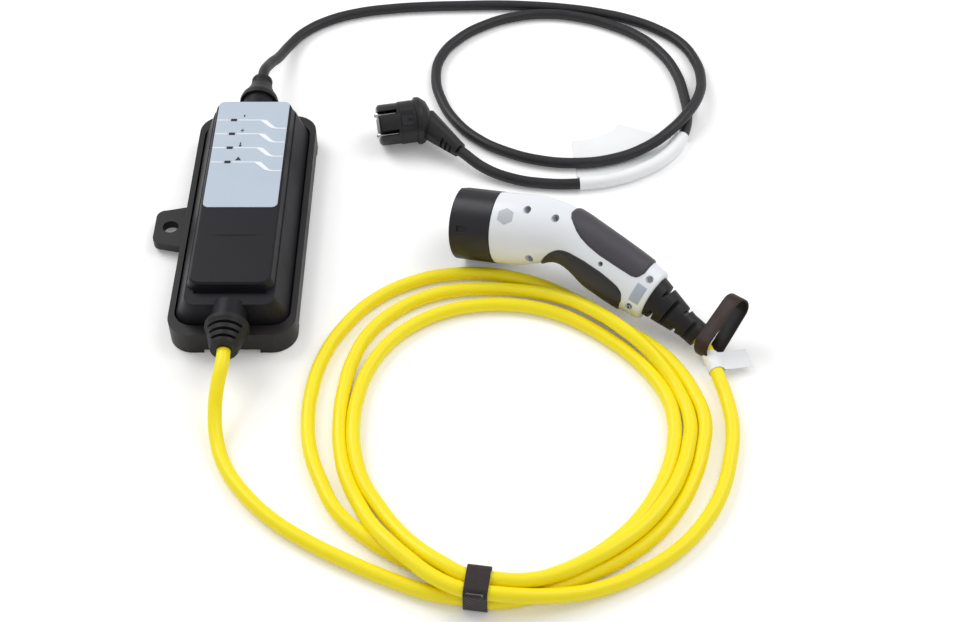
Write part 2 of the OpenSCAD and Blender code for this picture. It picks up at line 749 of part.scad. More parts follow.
// Raised patch on the housing from s0 to s1, between two angles that follow tables along the axis
module skin_patch(s0, s1, low, high, m = 14, n = 14) {
    function at(i, j, t) =
        let (s = s0 + (s1 - s0) * i / m, from = lookup(s, low), to = lookup(s, high))
        housing_point(s, from + (to - from) * j / n, t);
    function id(i, j, layer) = layer * (m + 1) * (n + 1) + i * (n + 1) + j;
    function quad(a, b, c, d) = [[a, b, c], [a, c, d]];
    polyhedron(
        points = [for (t = [grip_t + grip_seat, grip_seat], i = [0:m], j = [0:n]) at(i, j, t)],
        faces = concat(
            [for (i = [0:m - 1], j = [0:n - 1])
                each quad(id(i, j, 0), id(i + 1, j, 0), id(i + 1, j + 1, 0), id(i, j + 1, 0))],
            [for (i = [0:m - 1], j = [0:n - 1])
                each quad(id(i, j + 1, 1), id(i + 1, j + 1, 1), id(i + 1, j, 1), id(i, j, 1))],
            [for (i = [0:m - 1]) each quad(id(i + 1, 0, 0), id(i, 0, 0), id(i, 0, 1), id(i + 1, 0, 1))],
            [for (i = [0:m - 1]) each quad(id(i, n, 0), id(i + 1, n, 0), id(i + 1, n, 1), id(i, n, 1))],
            [for (j = [0:n - 1]) each quad(id(0, j, 0), id(0, j + 1, 0), id(0, j + 1, 1), id(0, j, 1))],
            [for (j = [0:n - 1]) each quad(id(m, j + 1, 0), id(m, j, 0), id(m, j, 1), id(m, j + 1, 1))]),
        convexity = 6);
}

// The back grip wraps the handle's outer side, round at its upper end
back_from = 95;
back_to = 172;
back_edge = [[back_from, 30], [back_from + 2, 42], [back_from + 5, 50], [back_from + 10, 60],
             [back_from + 16, 66], [back_from + 25, 71], [back_from + 37, 74], [back_to - 8, 73],
             [back_to - 4, 70], [back_to, 54]];

module back_grip() {
    color("#4b4850") at_connector()
        skin_patch(back_from, back_to, [for (e = back_edge) [e[0], -e[1]]], back_edge);
}

// The front grip wraps the handle's inner side and comes to a point under the bend
front_from = 77;
front_to = 167;
front_edge = [[front_from, 172], [front_from + 3, 160], [front_from + 8, 145], [front_from + 13, 132],
              [front_from + 18, 120], [front_from + 25, 109], [front_from + 33, 102], [front_from + 47, 98],
              [front_to - 27, 98], [front_to - 12, 102], [front_to - 4, 109], [front_to, 126]];

module front_grip() {
    color("#2c2a2c") at_connector()
        skin_patch(front_from, front_to, front_edge, [for (e = front_edge) [e[0], 360 - e[1]]]);
}

module rating_plate() {
    color("#aab2c0") at_connector() skin_patch(173, 182, [[0, 76]], [[0, 116]], 4, 8);
}

// D-shaped outline of the nose, drawn in by t
module nose_outline(t) {
    intersection() {
        circle(nose_d / 2 - t, $fn = 96);
        translate([nose_flat - t - nose_d, 0]) square([2 * nose_d, 2 * nose_d], center = true);
    }
}

// Turns a profile so that it is swept along the connector's axis, with its X towards the flat
module along_nose(from, l) {
    at_connector() translate([from, 0, 0]) rotate([90, 0, 90]) linear_extrude(l) children();
}

module nose_shroud() {
    color("#3a3840") difference() {
        union() {
            along_nose(0, nose_l) nose_outline(0);
            along_nose(nose_l - eps, spigot_l) circle(nose_spigot_r);
        }
        along_nose(-1, carrier_front + carrier_t + 1) nose_outline(nose_wall);
        along_nose(nose_l - 6, spigot_l + 7) circle(nose_spigot_r - 1.7);
        // Lock pin slot in the flat and the window in the side
        at_connector() translate([12, nose_flat - 2, -2]) cube([9, 6, 4]);
        at_connector() translate([7, -6, nose_d / 2 - 2]) cube([8, 5, 6]);
    }
}

module contact_places(at) {
    for (p = at) translate([p[0], p[1]]) children();
}

// Plate across the nose, which the tubes pass through
module contact_carrier() {
    color("#2b2a2e") along_nose(carrier_front, carrier_t) difference() {
        nose_outline(nose_wall);
        contact_places(power_at) circle(d = power_tube_d + 0.2);
        contact_places(signal_at) circle(d = signal_tube_d + 0.2);
    }
}

module contact_tubes() {
    color("#2b2a2e") along_nose(tube_front, carrier_front + carrier_t - tube_front) {
        contact_places(power_at) difference() {
            circle(d = power_tube_d);
            circle(d = power_bore_d + 2 * sleeve_t);
        }
        contact_places(signal_at) difference() {
            circle(d = signal_tube_d);
            circle(d = signal_bore_d + 2 * sleeve_t);
        }
    }
}

// Slotted contact sleeves with their crimp ends
module contact_sleeves(at, bore) {
    along_nose(tube_front + 2, carrier_front + carrier_t - tube_front - 2)
        contact_places(at) difference() {
            circle(d = bore + 2 * sleeve_t);
            circle(d = bore);
        }
    along_nose(carrier_front + carrier_t, 10) contact_places(at) circle(d = bore + 2 * sleeve_t);
}

module power_contacts() {
    color("#c8ccd2") contact_sleeves([power_at[0], power_at[1], power_at[2]], power_bore_d);
}

module signal_contacts() {
    color("#c8ccd2") contact_sleeves(signal_at, signal_bore_d);
}

// Saddle that holds the cable's jacket inside the handle's end
module cable_clamp() {
    a = axis_turn(handle_end);
    p = axis_point(handle_end - 24);
    color("#2b2a2e") at_connector() translate([p[0], p[1], 0]) rotate([0, 0, -a]) rotate([0, 90, 0])
        difference() {
            cylinder(d = 25, h = 10);
            translate([0, 0, -1]) cylinder(d = charge_d, h = 12);
        }
}

// End of the bend relief in the connector's plane, or a point beyond it
function relief_tip(beyond = 0) =
    let (a = bend_angle + relief_turn, p = axis_point(handle_end))
    [p[0] + (relief_l + beyond) * cos(a), p[1] - (relief_l + beyond) * sin(a)];

module bend_relief() {
    p = axis_point(handle_end);
    tiers = 4;
    pitch = relief_l / (tiers + 0.5);
    color("#2a2826") at_connector() difference() {
        translate([p[0], p[1], 0]) rotate([0, 0, -bend_angle - relief_turn]) rotate([0, 90, 0]) difference() {
            union() {
                translate([0, 0, -8])
                    cylinder(d1 = relief_d, d2 = relief_end_d, h = relief_l + 7 - strap_seat);
                cylinder(d = relief_end_d, h = relief_l);
            }
            // Rows of slots, turned a quarter from one row to the next
            for (i = [0:tiers - 1], half = [0, 180])
                translate([0, 0, 7 + i * pitch]) rotate([0, 0, half + 90 * (i % 2)])
                    translate([-relief_d / 2, charge_d / 2 + 1.5, 0]) cube([relief_d, relief_d, 3.2]);
        }
        // The relief starts at the handle's end face
        translate([p[0], p[1], 0]) rotate([0, 0, -bend_angle])
            translate([-50, 0, 0]) cube(100, center = true);
    }
}

// Mains plug

module at_plug() {
    translate(plug_at) rotate([0, 0, plug_turn]) rotate([pin_tilt, 0, 0]) rotate([0, 90, 0]) children();
}

// Direction of the plug's relief, from the drum's back to where the lead leaves it
plug_tail = mains_route[len(mains_route) - 1];

module plug_body() {
    from = plug_at + [4, -2, -1];
    reach = (plug_tail - from) * (1 - 2 * touch_gap / norm(plug_tail - from));
    color("#2b292d") difference() {
        union() {
            at_plug() rotate_extrude()
                polygon([[0, -9], [10, -9], [17, -6], [drum_d / 2 - 1, -1], [drum_d / 2, 1],
                         [drum_d / 2, flange_t], [drum_d / 2 - 1, flange_t + 1], [body_r, flange_t + 1],
                         [body_r, drum_l], [0, drum_l]]);
            translate(from) rotate([0, acos(reach[2] / norm(reach)), atan2(reach[1], reach[0])])
            difference() {
                cylinder(d1 = 27, d2 = plug_relief_d, h = norm(reach));
                for (i = [0:2], half = [0, 180])
                    translate([0, 0, norm(reach) - 7 - i * 5]) rotate([0, 0, half])
                        translate([-20, mains_d / 2 + 0.8, 0]) cube([40, 20, 2.2]);
            }
        }
        // Flats on the drum's sides, which take the earth clips
        for (side = [-1, 1]) at_plug() {
            translate([side * (body_r + 8), 0, drum_l]) cube([20, 20, 24], center = true);
            translate([0, side * pin_pitch / 2, drum_l - 8]) cylinder(d = pin_d, h = 20);
        }
    }
}

module pin_guard() {
    color("#232125") at_plug() translate([0, 0, drum_l]) difference() {
        rotate_extrude() polygon([[0, 0], [guard_d / 2, 0], [guard_d / 2, guard_l - 2],
                                  [guard_d / 2 - 2, guard_l], [0, guard_l]]);
        for (side = [-1, 1]) translate([0, side * pin_pitch / 2, guard_l / 2 + 2.5])
            cube([drum_d, pin_d, guard_l], center = true);
        for (side = [-1, 1]) translate([0, side * pin_pitch / 2, -1]) cylinder(d = pin_d, h = guard_l);
    }
}

module plug_pins() {
    color("#cfd2d6") at_plug() for (side = [-1, 1]) translate([0, side * pin_pitch / 2, drum_l - 8]) {
        cylinder(d = pin_d, h = pin_l + 7);
        translate([0, 0, pin_l + 7]) cylinder(d1 = pin_d, d2 = pin_d - 1.6, h = 1);
    }
}

module earth_clips() {
    color("#b9bcc2") at_plug() for (side = [-1, 1])
        translate([side * (body_r - 2), 0, drum_l - 6.5]) difference() {
            translate([side * 0.5, 0, 0]) cube([1, 9, 11], center = true);
            translate([0, 0, -2]) cube([4, 3, 4], center = true);
        }
}

at_box() base_tray();
at_box() cover_gasket();
at_box() top_cover();
at_box() front_label();
at_box() light_guides();
at_box() circuit_board();
at_box() status_leds();
at_box() power_relays();
at_box() current_sensor();
at_box() supply_transformer();
at_box() filter_capacitors();
at_box() mains_terminals();
at_box() charge_terminals();
at_box() case_screws();
at_box() mains_gland();
at_box() charge_gland();
at_box() mains_lead();
at_box() mains_label();
at_box() charge_lead();
at_box() charge_coil();
at_box() charge_tail();
at_box() coil_tie();
at_box() cable_strap();
at_box() cable_label();
at_box() nose_shroud();
at_box() contact_carrier();
at_box() contact_tubes();
at_box() power_contacts();
at_box() signal_contacts();
at_box() housing_top();
at_box() housing_base();
at_box() back_grip();
at_box() front_grip();
at_box() housing_screws();
at_box() rating_plate();
at_box() cable_clamp();
at_box() bend_relief();
at_box() plug_body();
at_box() pin_guard();
at_box() plug_pins();
at_box() earth_clips();
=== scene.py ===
"""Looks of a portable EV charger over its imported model: finishes, cables, connector, light, camera."""
import logging
import math
from dataclasses import dataclass
from dataclasses import field
from enum import Enum

import bmesh
import bpy
from mathutils import Matrix
from mathutils import Vector
from mathutils import geometry


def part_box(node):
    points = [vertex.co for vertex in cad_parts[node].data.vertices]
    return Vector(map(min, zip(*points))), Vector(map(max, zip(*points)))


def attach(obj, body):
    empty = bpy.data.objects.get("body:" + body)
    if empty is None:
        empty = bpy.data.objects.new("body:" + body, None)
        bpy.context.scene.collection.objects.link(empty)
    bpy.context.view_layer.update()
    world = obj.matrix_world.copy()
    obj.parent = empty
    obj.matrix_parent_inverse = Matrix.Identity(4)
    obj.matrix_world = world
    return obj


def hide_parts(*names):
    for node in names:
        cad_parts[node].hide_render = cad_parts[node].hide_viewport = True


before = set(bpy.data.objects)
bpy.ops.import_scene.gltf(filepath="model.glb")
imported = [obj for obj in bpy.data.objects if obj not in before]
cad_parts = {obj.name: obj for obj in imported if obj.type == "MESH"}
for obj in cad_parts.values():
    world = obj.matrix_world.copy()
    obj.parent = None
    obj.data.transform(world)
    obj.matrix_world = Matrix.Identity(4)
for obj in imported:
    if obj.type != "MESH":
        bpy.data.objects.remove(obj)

LOG = logging.getLogger("charger")
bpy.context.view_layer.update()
MM = 0.001
# The box's middle stands this far in +X of the frame's origin, in mm
BOX_X = 14.0

Rgba = tuple[float, float, float, float]
Point = tuple[float, float, float]


class Coat(Enum):
    """How a surface's fine relief was made."""

    SMOOTH = "smooth"
    SPARK = "spark eroded grain"
    RUBBED = "soft rubber"
    WOVEN = "woven band"
    PAPER = "coated paper"


def srgb(code: str) -> Rgba:
    """Turns an sRGB hex colour to linear values.

    Args:
        code: six hex digits after a hash.

    Returns:
        Linear red, green, blue and an alpha of one.
    """
    parts = [int(code[i:i + 2], 16) / 255.0 for i in (1, 3, 5)]
    linear = [p / 12.92 if p <= 0.04045 else ((p + 0.055) / 1.055) ** 2.4 for p in parts]
    return (linear[0], linear[1], linear[2], 1.0)


def per_mm(size: float) -> float:
    """Texture scale whose pattern repeats about every size millimetres on metre coordinates."""
    return 1.0 / (size * MM)


def add_node(tree: bpy.types.NodeTree, kind: str, settings: dict | None = None,
             links: dict | None = None) -> bpy.types.Node:
    """Adds a shader node.

    Args:
        tree: the node tree that gets it.
        kind: the node's type name.
        settings: values by input name, or by property name where there is no such input.
        links: output sockets by input name.

    Returns:
        The new node.
    """
    node = tree.nodes.new(kind)
    for key, value in (settings or {}).items():
        if key in node.inputs:
            node.inputs[key].default_value = value
        else:
            setattr(node, key, value)
    for key, socket in (links or {}).items():
        tree.links.new(socket, node.inputs[key])
    return node


@dataclass(frozen=True)
class Finish:
    """A surface finish: a colour that drifts towards a shade, a gloss that drifts with it, and a fine relief.

    Attributes:
        name: what the material is and how its surface was made.
        colour: main sRGB colour.
        shade: colour that the drift moves towards.
        roughness: middle roughness.
        coat: kind of relief.
        grain: width of the relief's pattern in mm.
        depth: height of the relief in mm.
        drift: width of the colour's drift in mm.
        metallic: one for bare metal.
        ior: index of refraction of a plastic.
        sheen: weight of the sheen on cloth and soft rubber.
        mirror: strength of the reflections, half for a plain plastic and less where a grain breaks them.
    """

    name: str
    colour: str
    shade: str
    roughness: float
    coat: Coat = Coat.SMOOTH
    grain: float = 1.0
    depth: float = 0.02
    drift: float = 30.0
    metallic: float = 0.0
    ior: float = 1.5
    sheen: float = 0.0
    mirror: float = 0.5

    def build(self) -> bpy.types.Material:
        """Makes the node material, once for each finish.

        Returns:
            The material.
        """
        known = bpy.data.materials.get(self.name)
        if known is not None:
            return known
        material = bpy.data.materials.new(self.name)
        material.use_nodes = True
        tree = material.node_tree
        shader = tree.nodes["Principled BSDF"]
        shader.inputs["Metallic"].default_value = self.metallic
        if self.metallic < 0.5:
            shader.inputs["IOR"].default_value = self.ior
            shader.inputs["Specular IOR Level"].default_value = self.mirror
        if self.sheen > 0.0:
            shader.inputs["Sheen Weight"].default_value = self.sheen
            shader.inputs["Sheen Roughness"].default_value = 0.4
        place = add_node(tree, "ShaderNodeTexCoord").outputs["Object"]
        drift = add_node(tree, "ShaderNodeTexNoise",
                         {"Scale": per_mm(self.drift), "Detail": 3.0, "Roughness": 0.55}, {"Vector": place})
        mix = add_node(tree, "ShaderNodeMixRGB", {"Color1": srgb(self.colour), "Color2": srgb(self.shade)},
                       {"Fac": drift.outputs["Fac"]})
        tree.links.new(mix.outputs["Color"], shader.inputs["Base Color"])
        gloss = add_node(tree, "ShaderNodeMapRange",
                         {"From Min": 0.3, "From Max": 0.7, "To Min": max(self.roughness - 0.07, 0.02),
                          "To Max": min(self.roughness + 0.07, 1.0)}, {"Value": drift.outputs["Fac"]})
        tree.links.new(gloss.outputs["Result"], shader.inputs["Roughness"])
        relief = self.relief(tree, place)
        if relief is not None:
            bump = add_node(tree, "ShaderNodeBump", {"Strength": 1.0, "Distance": self.depth * MM},
                            {"Height": relief})
            tree.links.new(bump.outputs["Normal"], shader.inputs["Normal"])
        return material

    def relief(self, tree: bpy.types.NodeTree, place: bpy.types.NodeSocket) -> bpy.types.NodeSocket | None:
        """Height pattern of the surface.

        Args:
            tree: the material's node tree.
            place: object coordinates.

        Returns:
            A height from about zero to one, or nothing on a smooth surface.
        """
        if self.coat is Coat.SMOOTH:
            return None
        if self.coat is Coat.WOVEN:
            across = add_node(tree, "ShaderNodeTexWave",
                              {"Scale": per_mm(self.grain * 6.0), "Distortion": 0.4,
                               "bands_direction": "DIAGONAL"}, {"Vector": place})
            along = add_node(tree, "ShaderNodeTexWave",
                             {"Scale": per_mm(self.grain * 6.0), "Distortion": 0.4, "bands_direction": "Z"},
                             {"Vector": place})
            both = add_node(tree, "ShaderNodeMath", {"operation": "MULTIPLY"})
            tree.links.new(across.outputs["Fac"], both.inputs[0])
            tree.links.new(along.outputs["Fac"], both.inputs[1])
            return both.outputs["Value"]
        detail = 2.0 if self.coat is Coat.SPARK else 4.0
        noise = add_node(tree, "ShaderNodeTexNoise",
                         {"Scale": per_mm(self.grain), "Detail": detail, "Roughness": 0.6}, {"Vector": place})
        return noise.outputs["Fac"]


# Glass-filled polyamide of the control box: a spark-eroded mould leaves a dull black with a broken highlight
BOX_PLASTIC = Finish("box polyamide, spark eroded", "#252122", "#1e1b1c", 0.44, Coat.SPARK, 0.9, 0.05, 40.0,
                     mirror=0.34)
# The raised panel is from a finer part of the mould: an even, deep black
PANEL_PLASTIC = Finish("panel polyamide, fine grain", "#201f25", "#1a191e", 0.42, Coat.SPARK, 0.6, 0.03, 50.0,
                       mirror=0.2)
# Silver-blue polyester film: a cool satin face
LABEL_FILM = Finish("label polyester film, printed", "#b4c0cf", "#bec9d7", 0.4, Coat.PAPER, 0.5, 0.006, 45.0)
# Pale ink on the film: thin light bands
LABEL_LINE = Finish("label lines, pale print", "#eaf0fa", "#f2f6fc", 0.4, Coat.PAPER, 0.5, 0.006, 20.0)
# Dark ink on the film: small signs that read at a distance
LABEL_SIGN = Finish("label signs, dark print", "#23262c", "#2c2f36", 0.45, Coat.PAPER, 0.5, 0.006, 20.0)
# Smoked lens: a glossy dark spot on the dull film
LIGHT_LENS = Finish("indicator polycarbonate, smoked", "#1b1e24", "#23262d", 0.12, Coat.SMOOTH, drift=6.0,
                    ior=1.58)
# Thermoplastic rubber of the glands and reliefs: matt black
RELIEF_RUBBER = Finish("relief rubber, moulded", "#1a181a", "#222022", 0.5, Coat.RUBBED, 0.8, 0.03, 15.0,
                       mirror=0.3)
# Rubber jacket of the mains lead: black with a soft line of light along its top
MAINS_JACKET = Finish("mains lead rubber, extruded", "#212023", "#2a282c", 0.46, Coat.RUBBED, 2.5, 0.05, 25.0,
                      mirror=0.4)
# Polyurethane jacket: satin yellow, with shallow waves over the cores
CHARGE_JACKET = Finish("charging cable polyurethane, extruded", "#ffe800", "#fff00e", 0.42, Coat.RUBBED, 7.0,
                       0.16, 28.0, ior=1.49)
# Hook and loop band: a brown-black weave with a faint fuzz
TIE_WEAVE = Finish("tie hook and loop, woven", "#231818", "#2e2221", 0.7, Coat.WOVEN, 0.9, 0.25, 6.0,
                   sheen=0.3)
# Rubber strap: dark brown outside and black inside, the black being painted shade inside the loop; both dull
STRAP_RUBBER = Finish("strap rubber, brown", "#2e1f1c", "#382723", 0.5, Coat.RUBBED, 0.9, 0.06, 14.0,
                      mirror=0.3)
STRAP_PAINTED_SHADE = Finish("strap rubber, black inside as painted shade", "#1c1a1b", "#242122", 0.5, Coat.RUBBED, 0.9, 0.06, 14.0,
                      mirror=0.3)
# Coated film of the folded labels: white with a slight ripple
TAG_PAPER = Finish("tag film, matt white", "#eff1f3", "#f7f8f9", 0.55, Coat.PAPER, 2.5, 0.04, 20.0)
# Black polyamide of the nose: fine grain with long soft reflections
NOSE_PLASTIC = Finish("nose polyamide, fine grain", "#232127", "#1d1b20", 0.36, Coat.SPARK, 0.6, 0.03, 30.0,
                      mirror=0.4)
# Inner mouldings of the nose: a plain dark grain
CARRIER_PLASTIC = Finish("carrier polyamide, plain", "#1e1d20", "#18171a", 0.5, Coat.SPARK, 0.7, 0.03, 12.0)
# White polycarbonate blend of the housing: satin, very even
HOUSING_WHITE = Finish("housing polycarbonate, satin white", "#eef1f5", "#e6eaf0", 0.34, Coat.SPARK, 0.7,
                       0.012, 60.0, ior=1.55)
# Soft-touch grips: a dull charcoal behind and a near black in front
GRIP_GREY = Finish("back grip elastomer, soft touch", "#3a373d", "#413e44", 0.52, Coat.RUBBED, 0.5, 0.03,
                   22.0, sheen=0.15)
GRIP_BLACK = Finish("front grip elastomer, soft touch", "#201e20", "#272527", 0.55, Coat.RUBBED, 0.5, 0.03,
                    22.0, sheen=0.12)
# Foil of the rating plate: a small grey field with a satin shine
PLATE_FOIL = Finish("plate foil, satin grey", "#a7afbd", "#b3bac7", 0.4, Coat.PAPER, 0.5, 0.01, 8.0)
# Tampo-printed grey badge: a little raised and satin
BADGE_GREY = Finish("badge print, satin grey", "#b9bdc4", "#c2c6cc", 0.4, Coat.PAPER, 0.5, 0.01, 8.0)
# Rubber of the plug: black with a broad soft gloss
PLUG_RUBBER = Finish("plug rubber, moulded", "#1d1b1e", "#262427", 0.38, Coat.RUBBED, 0.8, 0.03, 18.0,
                     mirror=0.35)
# Zinc-plated screws: grey glints in the wells
SCREW_STEEL = Finish("screw steel, zinc plated", "#b4b6ba", "#a4a7ac", 0.3, Coat.RUBBED, 0.8, 0.01, 3.0, 1.0)
# Earth clips: steel darkened as painted shade of the notch they sit in; the metal keeps a small glint
CLIP_SHADED_STEEL = Finish("earth clip steel, darkened as painted shade", "#4c4c4f", "#3c3c3f", 0.35, Coat.RUBBED, 0.8, 0.01, 3.0,
                    1.0)
# Nickel-plated pins: the brightest metal on the plug
PIN_NICKEL = Finish("pin brass, nickel plated", "#d2d2d0", "#c4c4c4", 0.18, Coat.RUBBED, 1.2, 0.006, 5.0, 1.0)
# Silver-plated sockets: warm pale rings inside the dark tubes
CONTACT_SILVER = Finish("contact copper, silver plated", "#d6d4cf", "#c2beb6", 0.25, Coat.RUBBED, 1.0, 0.006,
                        4.0, 1.0)
# Silicone cord: a dull dark line under the cover
GASKET = Finish("gasket silicone, black", "#1c1c1e", "#232325", 0.6, Coat.RUBBED, 0.8, 0.02, 10.0)
# Parts inside the box, each with the colour that such parts have
BOARD = Finish("board laminate, solder mask", "#2f6b46", "#285c3c", 0.35, Coat.SPARK, 0.9, 0.02, 9.0)
LED_RESIN = Finish("status light resin", "#d8dcc8", "#c8ccb8", 0.2, Coat.SMOOTH, drift=3.0)
RELAY_CASE = Finish("relay case polyester", "#20242c", "#282c34", 0.45, Coat.SPARK, 0.6, 0.03, 9.0)
CORE_COAT = Finish("current sensor core, powder coated", "#7a3f28", "#6a3520", 0.6, Coat.RUBBED, 0.8, 0.05,
                   6.0)
TAPE = Finish("transformer tape, polyester", "#c9a23a", "#b99230", 0.35, Coat.SMOOTH, drift=5.0)
CAN_SLEEVE = Finish("capacitor sleeve, shrunk film", "#26304f", "#1f2843", 0.3, Coat.SMOOTH, drift=5.0)
TERMINAL = Finish("terminal block polyamide", "#35543c", "#2d4833", 0.5, Coat.SPARK, 0.6, 0.03, 8.0)
# Matt floor: white, with the shadows kept
FLOOR_PAINT = Finish("studio floor, matt white", "#fdfdfd", "#ffffff", 0.9, Coat.SMOOTH, drift=400.0)


def make_object(name: str, bm: bmesh.types.BMesh, finish: Finish,
                smooth_below: float = 35.0) -> bpy.types.Object:
    """Puts a bmesh into a new object that rides on the part.

    Args:
        name: the piece's name.
        bm: its mesh, which is freed.
        finish: its finish.
        smooth_below: edges that turn less than this many degrees are shaded smooth.

    Returns:
        The object, at the origin.
    """
    mesh = bpy.data.meshes.new(name)
    bm.to_mesh(mesh)
    bm.free()
    for polygon in mesh.polygons:
        polygon.use_smooth = True
    mesh.set_sharp_from_angle(angle=math.radians(smooth_below))
    mesh.materials.append(finish.build())
    obj = bpy.data.objects.new(name, mesh)
    bpy.context.scene.collection.objects.link(obj)
    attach(obj, "root")
    LOG.info("made %s with %d faces", name, len(mesh.polygons))
    return obj


def dress(node: str, finish: Finish) -> bpy.types.Object:
    """Gives a CAD node its finish and leaves its mesh alone.

    Args:
        node: the node's name.
        finish: its finish.

    Returns:
        The node's object.
    """
    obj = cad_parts[node]
    obj.data.materials.clear()
    obj.data.materials.append(finish.build())
    LOG.info("dressed %s", node)
    return obj


def merged_copy(node: str) -> bmesh.types.BMesh:
    """Copy of a node's mesh with its triangles joined into whole faces.

    Args:
        node: the node's name.

    Returns:
        The merged mesh.
    """
    bm = bmesh.new()
    bm.from_mesh(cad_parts[node].data)
    bmesh.ops.remove_doubles(bm, verts=bm.verts, dist=0.004 * MM)
    bmesh.ops.dissolve_degenerate(bm, edges=bm.edges, dist=0.002 * MM)
    bmesh.ops.dissolve_limit(bm, angle_limit=math.radians(0.6), verts=bm.verts, edges=bm.edges)
    return bm


def round_edges(bm: bmesh.types.BMesh, width: float, segments: int, sharp: float,
                slide: bool = False) -> None:
    """Rounds the edges of a mesh that turn sharply.

    Args:
        bm: the mesh.
        width: width of the rounded edge in mm.
        segments: faces across the rounded edge.
        sharp: edges that turn more than this many degrees are rounded.
        slide: whether new corners slide along the edges that stay.
    """
    limit = math.radians(sharp)
    edges = [e for e in bm.edges if len(e.link_faces) == 2 and e.calc_face_angle(0.0) > limit]
    bmesh.ops.bevel(bm, geom=edges, offset=width * MM, offset_type="OFFSET", affect="EDGES",
                    segments=segments, profile=0.5, material=-1, clamp_overlap=True, loop_slide=slide)


def face_up(bm: bmesh.types.BMesh) -> None:
    """Turns the faces of a flat print to look up."""
    for face in bm.faces:
        if face.normal.z < 0:
            face.normal_flip()


def soften(node: str, finish: Finish, width: float = 0.8, segments: int = 3,
           sharp: float = 38.0) -> bpy.types.Object:
    """Copy of a CAD node with moulded edges in place of its sharp ones.

    Args:
        node: the node that the copy replaces.
        finish: its finish.
        width: width of the rounded edge in mm.
        segments: faces across the rounded edge.
        sharp: edges that turn more than this many degrees are rounded.

    Returns:
        The new piece.
    """
    bm = merged_copy(node)
    round_edges(bm, width, segments, sharp, True)
    obj = make_object(node + "_moulded", bm, finish, 40.0)
    even = obj.modifiers.new("even shading", "WEIGHTED_NORMAL")
    even.keep_sharp = True
    even.weight = 60
    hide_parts(node)
    return obj


def paint_shade_inside(obj: bpy.types.Object, finish: Finish) -> None:
    """Gives the faces of a loop of band that look inwards a darker finish of their own, as painted shade
    inside the loop.

    Args:
        obj: the band.
        finish: the darker finish of its inside, painted shade.
    """
    mesh = obj.data
    mesh.materials.append(finish.build())
    middle = sum((v.co for v in mesh.vertices), Vector()) / len(mesh.vertices)
    for polygon in mesh.polygons:
        if polygon.normal.dot(polygon.center - middle) < -0.2 * (polygon.center - middle).length:
            polygon.material_index = 1


@dataclass
class Cable:
    """A free cable that lies on the floor.

    Attributes:
        name: the piece's name.
        route: points along its middle in mm, from the middle of the control box.
        diameter: its diameter in mm.
        finish: its jacket.
        sides: steps in each half of its round section.
    """

    name: str
    route: list[Point]
    diameter: float
    finish: Finish
    sides: int = 5

    def points(self) -> list[Vector]:
        """The route in metres, in the part's frame."""
        return [Vector((x + BOX_X, y, z)) * MM for x, y, z in self.route]

    def build(self) -> bpy.types.Object:
        """Makes the cable as one open curve with a round section.

        Returns:
            The curve object.
        """
        curve = bpy.data.curves.new(self.name, "CURVE")
        curve.dimensions = "3D"
        curve.resolution_u = 10
        curve.render_resolution_u = 10
        curve.bevel_depth = self.diameter / 2 * MM
        curve.bevel_resolution = self.sides
        curve.use_fill_caps = True
        spline = curve.splines.new("BEZIER")
        points = self.points()
        spline.bezier_points.add(len(points) - 1)
        for knot, point in zip(spline.bezier_points, points):
            knot.co = point
            knot.handle_left_type = "AUTO"
            knot.handle_right_type = "AUTO"
        curve.materials.append(self.finish.build())
        obj = bpy.data.objects.new(self.name, curve)
        bpy.context.scene.collection.objects.link(obj)
        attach(obj, "root")
        bpy.context.view_layer.update()
        LOG.info("laid %s, %.3f m", self.name, self.length(obj))
        return obj

    def stretch(self, obj: bpy.types.Object, first: int, last: int, steps: int = 10) -> list[Vector]:
        """Points along the laid curve between two of its knots.

        Args:
            obj: the curve object.
            first: index of the first knot.
            last: index of the last knot.
            steps: points in each span.

        Returns:
            The points in metres.
        """
        knots = obj.data.splines[0].bezier_points
        points = []
        for a, b in zip(range(first, last), range(first + 1, last + 1)):
            span = geometry.interpolate_bezier(knots[a].co, knots[a].handle_right, knots[b].handle_left,
                                               knots[b].co, steps + 1)
            points += span[:-1]
        return points + [knots[last].co.copy()]

    def length(self, obj: bpy.types.Object) -> float:
        """Length of the laid curve in metres.

        Args:
            obj: the curve object.

        Returns:
            The sum of its spline lengths.
        """
        return sum(s.calc_length() for s in obj.data.splines)


MAINS_ROUTE: list[Point] = [
    (0, 172.8, 34.5), (0, 185, 34), (3, 206, 26.5), (9, 229, 16.5), (16, 255, 9), (29, 281, 5.5),
    (51, 300, 5), (81, 313, 5), (115, 320, 5), (150, 323.5, 5), (185, 325, 5), (220, 326, 5),
    (255, 324.5, 5), (290, 320.5, 5), (325, 313, 5), (356, 302, 5), (383, 286, 5), (404, 265, 5),
    (416, 237, 5.5), (419, 208, 8), (414, 177, 13), (402, 150, 15.6), (383, 126, 13), (358, 107.5, 8),
    (327, 94.5, 5.7), (294, 89.5, 5.5), (261, 93, 5.5), (230, 104.5, 5.5), (203, 123, 5), (182, 148, 5),
    (168, 179, 5), (162, 212, 5), (167, 245, 5), (184, 272, 5), (209, 293, 5), (240, 307, 5),
    (273, 311.5, 5), (306, 306, 5), (337, 293, 5), (364, 274, 5), (384, 248, 5), (396, 218, 5),
    (401, 186, 5), (402, 157, 5), (395, 126, 5.5), (380, 100, 5.5), (356, 80.5, 5.5), (327, 67.5, 5.5),
    (296, 62, 5.5), (262, 63, 5), (234, 68.5, 6), (210, 78.5, 9), (187.5, 96.5, 14)]

